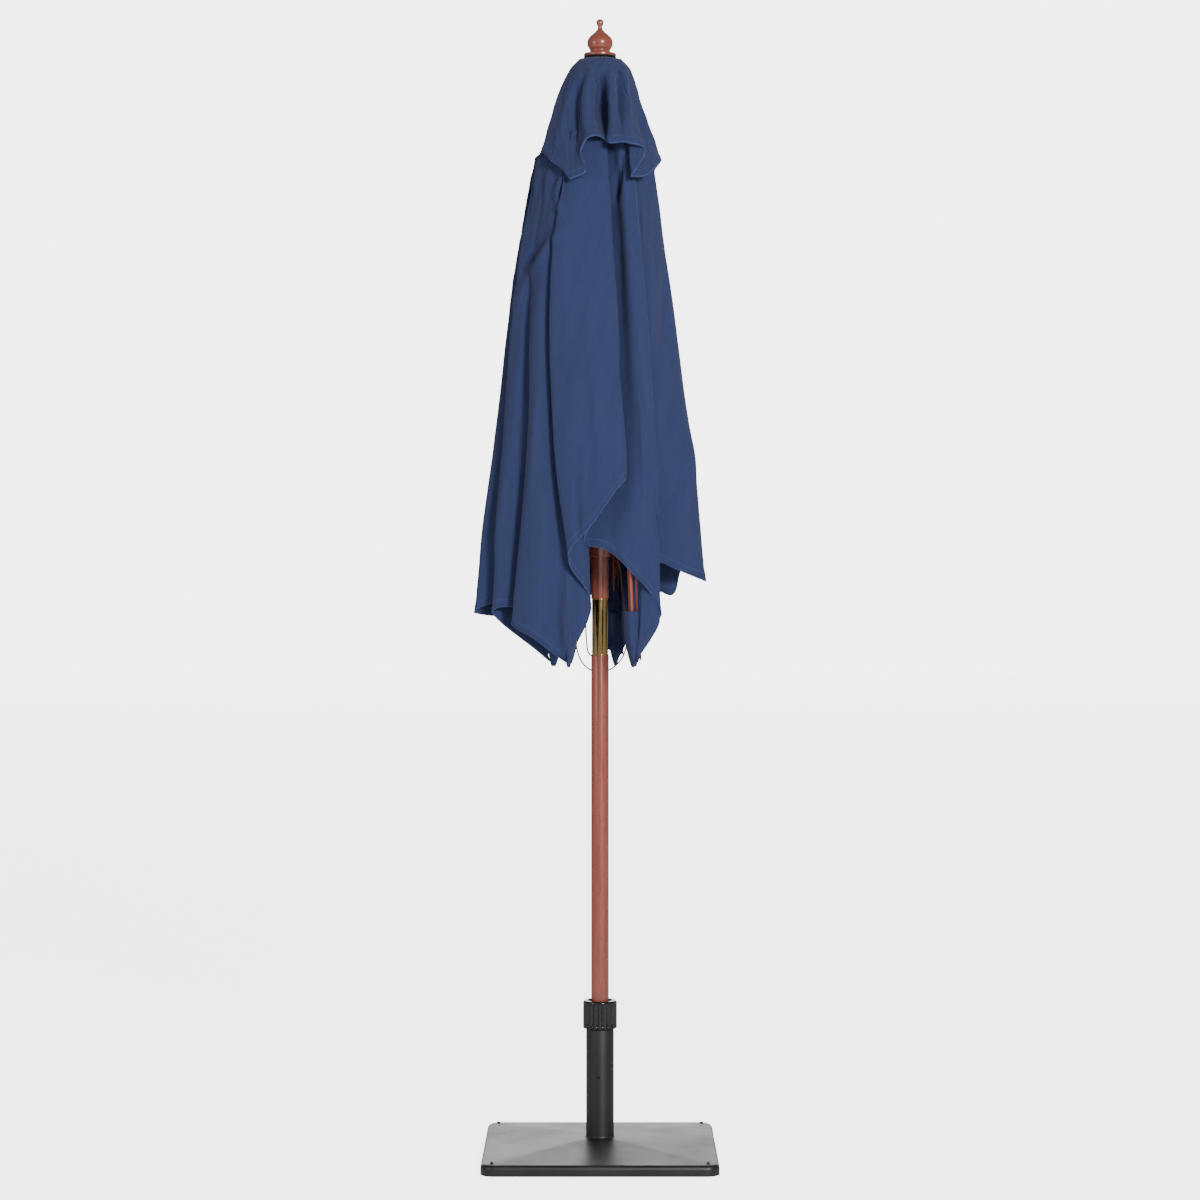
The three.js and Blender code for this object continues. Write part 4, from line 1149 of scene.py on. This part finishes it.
def shell(name, grid, normals, across, up, thickness, hem_width=0.0, hem_raise=0.0):
    """A closed thin shell from one patch of a sheet, thicker in its hem."""
    rows, columns = grid.shape[:2]
    lift = np.where(up < hem_width, hem_raise, 0.0)[:, :, None]
    outside = grid + normals * lift
    inside = grid - normals * (thickness + lift)
    points = np.concatenate([outside.reshape(-1, 3), inside.reshape(-1, 3)])
    flat = np.stack([across, up], axis=2).reshape(-1, 2)
    half = rows * columns
    faces = []
    for r in range(rows - 1):
        for c in range(columns - 1):
            a, b = r * columns + c, r * columns + c + 1
            faces.append((a, a + columns, b + columns, b))
            faces.append((half + a, half + b, half + b + columns, half + a + columns))
    rim = list(range(columns))
    rim += [r * columns + columns - 1 for r in range(1, rows)]
    rim += [(rows - 1) * columns + c for c in range(columns - 2, -1, -1)]
    rim += [r * columns for r in range(rows - 2, 0, -1)]
    for a, b in zip(rim, rim[1:] + rim[:1]):
        faces.append((a, b, half + b, half + a))
    return from_grid(name, points, faces, np.concatenate([flat, flat]))


def creased(grid, normals):
    """The sheet with its forward creases."""
    height = np.zeros(grid.shape[:2])
    spot = grid[:, :, [0, 2]] / MM
    for start, end, width, depth in CREASES:
        start, along = np.array(start, float), np.subtract(end, start)
        share = np.clip(((spot - start) @ along) / (along @ along), 0, 1)
        away = np.linalg.norm(spot - start - share[:, :, None] * along, axis=2)
        taper = 0.35 + 0.65 * np.sin(math.pi * np.clip(share, 0.02, 0.98))
        height += CREASE_GAIN * depth * MM * taper * np.exp(-(away / width) ** 2)
    forward = np.clip(-normals[:, :, 1] * 2.5, 0, 1)
    return grid + normals * (height * forward)[:, :, None]


def wrinkled(grid, normals, depth, seed):
    """The sheet with small upright wrinkles that fade out at the top."""
    rng = np.random.default_rng(seed)
    rows, columns = grid.shape[:2]
    run = np.cumsum(np.linalg.norm(np.diff(grid, axis=1, append=grid[:, :1]), axis=2), axis=1)
    total = run[:, -1:]
    v = np.linspace(0, 1, rows)[:, None]
    height = np.zeros((rows, columns))
    for cycles, weight in ((11, 0.9), (17, 1.0), (26, 0.8), (41, 0.55), (63, 0.35)):
        phase, lean, sway = rng.uniform(0, 2 * math.pi), rng.uniform(-2.4, 2.4), rng.uniform(1.5, 4.0)
        swing = phase + lean * v + 0.9 * np.sin(sway * v * math.pi + phase)
        strength = 0.55 + 0.45 * np.sin(rng.uniform(2, 5) * v * math.pi + rng.uniform(0, 6) + 5 * run / total)
        height += weight * strength * np.sin(2 * math.pi * cycles * run / total + swing)
    return grid + normals * (height * depth * (0.35 + 0.65 * v))[:, :, None]


def fold_line(top, high, low, hem, rows):
    """One fold from its top to its hem, as a smooth curve through its four places."""
    return in_rows([top, (*high, HIGH), (*low, LOW), hem], rows)


def cap_line(mid, hem, rows):
    """One fold of the vent cap, from the crown over its shoulder and down to its hem."""
    turn = math.atan2(mid[1], mid[0])
    start, shoulder = ((radius * math.cos(turn), radius * math.sin(turn), height)
                       for radius, height in (CAP_START, CAP_SHOULDER))
    return in_rows([start, shoulder, (*mid, CAP_MID), hem], rows)


def in_rows(places, rows):
    """A smooth curve through places in millimetres, divided into even rows."""
    path = through([[part * MM for part in place] for place in places], 0.002)
    share = np.linspace(0, 1, len(path))
    return np.stack([np.interp(np.linspace(0, 1, rows + 1), share, path[:, k]) for k in range(3)], axis=1)


def seam_line(k, top, rows):
    """The seam that lies along a rib's outer face and wraps the rib's end."""
    pivot, along, normal, side = rib_directions(k)
    start = (pivot.z - top * MM) / -along.z
    spots = []
    for v in np.linspace(0, 1, rows + 1):
        s = start + (RIB_LENGTH + 0.004 - start) * v
        drift = SEAM_DRIFT.get(k, 0.0) * math.sin(math.pi * min(1.0, max(0.0, (v - 0.55) / 0.45)))
        tuck = max(0.0, (v - 0.93) / 0.07) ** 2 * (RIB_HALF + SEAM_OFF - 0.008)
        spots.append(pivot + along * s + normal * (RIB_HALF + SEAM_OFF - tuck - drift * 0.6) + side * drift)
    return np.array(spots)


def lay_flat(obj, k, gore, height, rise=0.3):
    """Works out a point on the gore's open plane, raised clear of the next gore's cloth, and gives the piece
    its own mesh.
    """
    apex, normal = hinge(f"gore_{gore}_fan")
    if gore != k:
        normal = mirrored_normal(k, gore)
        apex = hinge(f"gore_{k}_fan")[0]
    side = rib_directions(k)[3] * (1 if gore == k else -1)
    wrong = max(0.0, -min((v.co - apex).dot(side) for v in obj.data.vertices))
    anchor = apex + normal * (height - rise * wrong)
    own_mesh(obj)


def mirrored_normal(k, gore):
    """The open normal of the gore on a rib's clockwise side, carried to the closed rib."""
    normal = hinge(f"gore_{k}_fan")[1]
    side = rib_directions(k)[3]
    return normal - 2 * normal.dot(side) * side


def cut_flat(grid, across):
    """Flat area and sides of a half gore."""
    a = np.cross(grid[1:, 1:] - grid[:-1, :-1], grid[1:, :-1] - grid[:-1, 1:])
    area = float(np.linalg.norm(a, axis=2).sum() / 2)
    length = float(np.linalg.norm(np.diff(grid[:, 0], axis=0), axis=1).sum())
    width = min(float(np.abs(across).max()), area / (0.35 * length))
    return area, width, length


def half_gores(prefix, gores, spacing, seed, hem_height, flat_height, wrinkle_share):
    """Makes the twelve half gores of a folded sheet and returns them by rib and side."""
    grid, places = gores.sheet_points(spacing)
    normals = sheet_normals(grid)
    rows, columns = grid.shape[:2]
    seams, parts = ({k: places[i] for i, (kind, k) in enumerate(gores.marks) if kind == wanted}
                    for wanted in ("seam", "part"))
    off = np.abs(np.arange(columns)[:, None] - np.array(list(seams.values())))
    near = np.minimum(off, columns - off).min(axis=1)
    calm = 1 - np.exp(-(near / CALM_COLUMNS) ** 2)[None, :] * np.linspace(0, 1, rows)[:, None] ** CALM_POWER
    folded = wrinkled(creased(grid, normals), normals, sizes().wrinkle * wrinkle_share, seed)
    grid = grid + (folded - grid) * calm[:, :, None]
    normals = sheet_normals(grid)
    drop = np.linalg.norm(np.diff(grid[::-1], axis=0), axis=2)
    up = np.concatenate([np.zeros((1, columns)), np.cumsum(drop, axis=0)])[::-1]
    made = {}
    for k in range(1, RIBS + 1):
        before = (k - 2) % RIBS + 1
        spans = {"b": (parts[before], seams[k], before), "a": (seams[k], parts[k], k)}
        for letter, (start, end, gore) in spans.items():
            count = (end - start) % columns
            index = (start + np.arange(count + 1)) % columns
            patch = grid[:, index]
            step = np.linalg.norm(np.diff(patch, axis=1), axis=2)
            run = np.concatenate([np.zeros((patch.shape[0], 1)), np.cumsum(step, axis=1)], axis=1)
            across = run if letter == "a" else run[:, -1:] - run
            obj = shell(f"{prefix}_{k}{letter}", patch, normals[:, index], across, up[:, index],
                        sizes().cloth, sizes().hem * hem_height, sizes().hem_raise)
            coat(obj, "cloth")
            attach(obj, f"rib_{k}")
            lay_flat(obj, k, gore, flat_height)
            made[k, letter] = (obj, cut_flat(patch, across))
    return made


def fan(k):
    """A gore's frame as it fans out from its closed rib: apex, rib line, side, normal and angle."""
    apex, normal = hinge(f"gore_{k}_fan")
    along = rib_directions(k)[1]
    along = (along - normal * along.dot(normal)).normalized()
    return apex, along, normal.cross(along), normal, math.radians(JOINTS[f"gore_{k}_fan"]["range_deg"][1])


def across_fold(fold, weight):
    """How far across its fold a point lies that makes this share of the turn."""
    return fold * (0.5 - math.sin(math.asin(1 - 2 * min(max(weight, 0), 1)) / 3))


def web(name, k, inner, outer, lift, dip, rows=56, columns=40, fold=0.004):
    """The part of a gore that lies folded on its rib."""
    apex, along, side, normal, spread = fan(k)
    hem = outer * math.cos(spread / 2)
    grid = np.zeros((rows + 1, columns + 1, 3))
    across = np.zeros((rows + 1, columns + 1))
    up = np.zeros((rows + 1, columns + 1))
    for c in range(columns + 1):
        angle = spread * c / columns
        edge = hem / math.cos(spread / 2 - angle)
        start = inner * math.cos(spread / 2) / math.cos(spread / 2 - angle)
        for r in range(rows + 1):
            radius = start + (edge - start) * r / rows
            weight = angle / spread
            for _ in range(12):
                t = across_fold(fold, weight)
                weight = (angle - math.atan2(t, radius)) / spread
            t = across_fold(fold, weight)
            sag = dip * math.sin(math.pi * c / columns) * radius / outer
            height = lift(radius) - sag
            spot = apex + along * math.sqrt(radius ** 2 - t ** 2) + side * t + normal * height
            grid[r, c] = spot
            across[r, c] = radius * math.sin(angle - spread / 2)
            up[r, c] = (edge - radius) * math.cos(spread / 2 - angle)
    normals = np.broadcast_to(np.array(normal), grid.shape)
    obj = shell(name, grid, normals, across, up, sizes().cloth, sizes().hem, sizes().hem_raise)
    coat(obj, "cloth")
    start = apex
    tuple(start + side * fold)
    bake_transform(obj)
    return obj


POCKET_START, POCKET_RUN = 0.105, 0.118  # how far before a rib's end its pocket starts, and its length
POCKET_WIDE, POCKET_DEEP = 0.0135, 0.0036  # half its width, and its room beyond the rib's depth
POCKET_CLOSE, POCKET_WALL, CRUMPLE = 0.0105, 0.0009, 0.0006


class MakeCanopy(bpy.types.Operator):
    """Makes the canopy: its outer folds, the cloth folded behind them on each rib, and the rib pockets"""
    bl_idname = "umbrella.make_canopy"
    bl_label = "Canopy"

    rows: IntProperty(name="Rows", description="Rows of faces from the vent to the hem", default=96)
    spacing: FloatProperty(name="Spacing", description="Distance between points across a fold",
                           default=0.0075, unit="LENGTH")
    dip: FloatProperty(name="Dip", description="How far an open gore sags between its ribs",
                       default=0.006, unit="LENGTH")

    def execute(self, context):
        folds = {k: [(fold_line(*fold[:4], self.rows), fold[-1] == "part") for fold in gore]
                 for k, gore in FOLDS.items()}
        seams = {k: seam_line(k, TOP, self.rows) for k in FOLDS}
        gores = Gores(folds, seams, self.rows)
        halves = half_gores("canopy", gores, self.spacing, 11, 1.0, -0.004, 1.0)
        reach = RIB_LENGTH + 0.0508
        webs = {k: web(f"canopy_web_{k}", k, sizes().vent_start, reach, lambda radius: 0.002, self.dip)
                for k in FOLDS}
        for (k, letter), (obj, (area, width, length)) in halves.items():
            if letter == "a":
                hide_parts(f"canopy_gore_{k}")
            round(min(area, 0.98 * width * length), 4)
            [webs[k]] if letter == "a" else []
        for k in FOLDS:
            self.pocket(k)
        return {"FINISHED"}

    def pocket(self, k):
        """The doubled corner that a rib's end sits in: a flat sleeve that narrows to the tip."""
        pivot, along, normal, side = rib_directions(k)
        rings, rows, columns = [], 14, 28
        for r in range(rows + 1):
            v = r / rows
            s = RIB_LENGTH - POCKET_START + POCKET_RUN * v
            wide = POCKET_WIDE * (1 - 0.9 * max(0.0, (v - 0.35) / 0.65) ** 1.5)
            deep = RIB_HALF + POCKET_DEEP - max(0.0, (v - 0.55) / 0.45) ** 1.5 * POCKET_CLOSE
            ring = []
            for c in range(columns):
                turn = 2 * math.pi * c / columns
                x = math.copysign(abs(math.cos(turn)) ** 0.5, math.cos(turn)) * deep
                y = math.copysign(abs(math.sin(turn)) ** 0.6, math.sin(turn)) * wide
                crumple = CRUMPLE * (1 - v) * math.sin(5 * turn + 9 * v + k)
                ring.append(pivot + along * s + normal * (x + crumple) + side * y)
            rings.append(ring)
        grid = np.array(rings)
        middle = grid.mean(axis=1, keepdims=True)
        inward = middle - grid
        inner = grid + inward / np.linalg.norm(inward, axis=2)[:, :, None] * POCKET_WALL
        tips = (middle[-1], middle[-1] - np.array(along) * POCKET_WALL)
        points = np.concatenate([grid.reshape(-1, 3), inner.reshape(-1, 3), *tips])
        total = (rows + 1) * columns
        faces = []
        for r in range(rows):
            for c in range(columns):
                a, b = r * columns + c, r * columns + (c + 1) % columns
                faces.append((a, a + columns, b + columns, b))
                faces.append((total + a, total + b, total + b + columns, total + a + columns))
        last = rows * columns
        for c in range(columns):
            b = (c + 1) % columns
            faces.append((c, b, total + b, total + c))
            faces.append((last + c, 2 * total, last + b))
            faces.append((total + last + c, total + last + b, 2 * total + 1))
        spread = np.array([(c * 0.0018, 0.02 + 0.1 * r / rows)
                           for r in range(rows + 1) for c in range(columns)])
        uvs = np.concatenate([spread, spread, [(0, 0.1), (0, 0.1)]])
        obj = from_grid(f"rib_pocket_{k}", points, faces, uvs)
        edit()
        bpy.ops.mesh.normals_make_consistent(inside=False)
        bpy.ops.object.mode_set(mode="OBJECT")
        coat(obj, "cloth")
        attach(obj, f"rib_{k}")


# The vent cap's middle: a radius, and how far below the finial's washer it lies there.
CROWN = [(0.0052, 0.0016), (0.02, 0.0016), (0.034, 0.0022), (0.043, 0.0048), (0.052, 0.0112),
         (0.0582, 0.018), (0.0622, 0.0255)]


class MakeVentCap(bpy.types.Operator):
    """Makes the vent cap: the crown over the hub, its hanging folds and the cloth behind them"""
    bl_idname = "umbrella.make_vent_cap"
    bl_label = "Vent cap"

    rows: IntProperty(name="Rows", description="Rows of faces from the crown to the hem", default=44)

    def execute(self, context):
        seams = {k: cap_line(*CAP_SEAMS[k], self.rows) for k in CAP_SEAMS}
        folds = {k: [(cap_line(*fold[:2], self.rows), fold[-1] == "part") for fold in gore]
                 for k, gore in CAP_FOLDS.items()}
        gores = Gores(folds, seams, self.rows)
        halves = half_gores("vent_cap", gores, 0.004, 5, 0.8, 0.005, 0.45)
        lift = lambda radius: 0.012 - 0.003 * min(1.0, radius / sizes().cap_reach)
        webs = {k: web(f"vent_web_{k}", k, 0.068, sizes().cap_reach, lift, 0.002, 18, 24) for k in CAP_FOLDS}
        for (k, letter), (obj, (area, width, length)) in halves.items():
            round(min(area, 0.98 * width * length), 4)
            [webs[k]] if letter == "a" else []
        crown = self.crown()
        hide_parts("vent_cap")
        return {"FINISHED"}

    def crown(self):
        """The cap's middle, pinched under the finial and drawn over the hub."""
        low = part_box("finial_washer")[0][2]
        columns = 144
        path = through([(r, 0, low - drop) for r, drop in CROWN], 0.0685 / 22)
        rows = len(path)
        turns = np.linspace(0, 2 * math.pi, columns, endpoint=False)
        grid = np.zeros((rows, columns + 1, 3))
        for r, (radius, _, z) in enumerate(path):
            share = (radius - path[0][0]) / (path[-1][0] - path[0][0])
            for c in range(columns + 1):
                turn = 2 * math.pi * c / columns
                pleat = 0.0006 * share * (math.sin(13 * turn) + 0.6 * math.sin(29 * turn + 1.3))
                grid[r, c] = ((radius + pleat) * math.cos(turn), (radius + pleat) * math.sin(turn), z)
        normals = sheet_normals(grid, closed=False)
        run = np.linspace(0, 2 * math.pi * 0.06, columns + 1)
        across = np.broadcast_to(run, (rows, columns + 1))
        up = np.broadcast_to(np.linspace(0.16, 0.1, rows)[:, None], (rows, columns + 1))
        obj = shell("vent_crown", grid, normals, across, up, sizes().cloth)
        edit()
        bpy.ops.mesh.remove_doubles(threshold=1e-6)
        bpy.ops.object.mode_set(mode="OBJECT")
        coat(obj, "cloth")
        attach(obj, "upper_pole")
        return obj


# ---------------------------------------------------------------- add-on
class UmbrellaPanel(bpy.types.Panel):
    """Lists what the umbrella is made of"""
    bl_idname = "VIEW3D_PT_umbrella"
    bl_label = "Garden umbrella"
    bl_space_type = "VIEW_3D"
    bl_region_type = "UI"
    bl_category = "Umbrella"

    def draw(self, context):
        for group in (context.scene.umbrella_sizes, context.scene.umbrella_colours):
            for name in group.bl_rna.properties.keys():
                if name not in ("rna_type", "name"):
                    self.layout.prop(group, name)
        for step in STEPS:
            self.layout.operator(step.bl_idname)


STEPS = (MakeStage, MakeCords, MakeBase, MakeTube, MakePole, MakeFinial, MakeFrame, MakeCanopy, MakeVentCap)
CLASSES = (UmbrellaSizes, UmbrellaColours, *STEPS, UmbrellaPanel)


def register():
    for cls in CLASSES:
        bpy.utils.register_class(cls)
    bpy.types.Scene.umbrella_sizes = PointerProperty(type=UmbrellaSizes)
    bpy.types.Scene.umbrella_colours = PointerProperty(type=UmbrellaColours)


def unregister():
    del bpy.types.Scene.umbrella_colours
    del bpy.types.Scene.umbrella_sizes
    for cls in reversed(CLASSES):
        bpy.utils.unregister_class(cls)


def main():
    register()
    for step in STEPS:
        group, name = step.bl_idname.split(".")
        getattr(getattr(bpy.ops, group), name)()


if __name__ == "__main__":
    main()
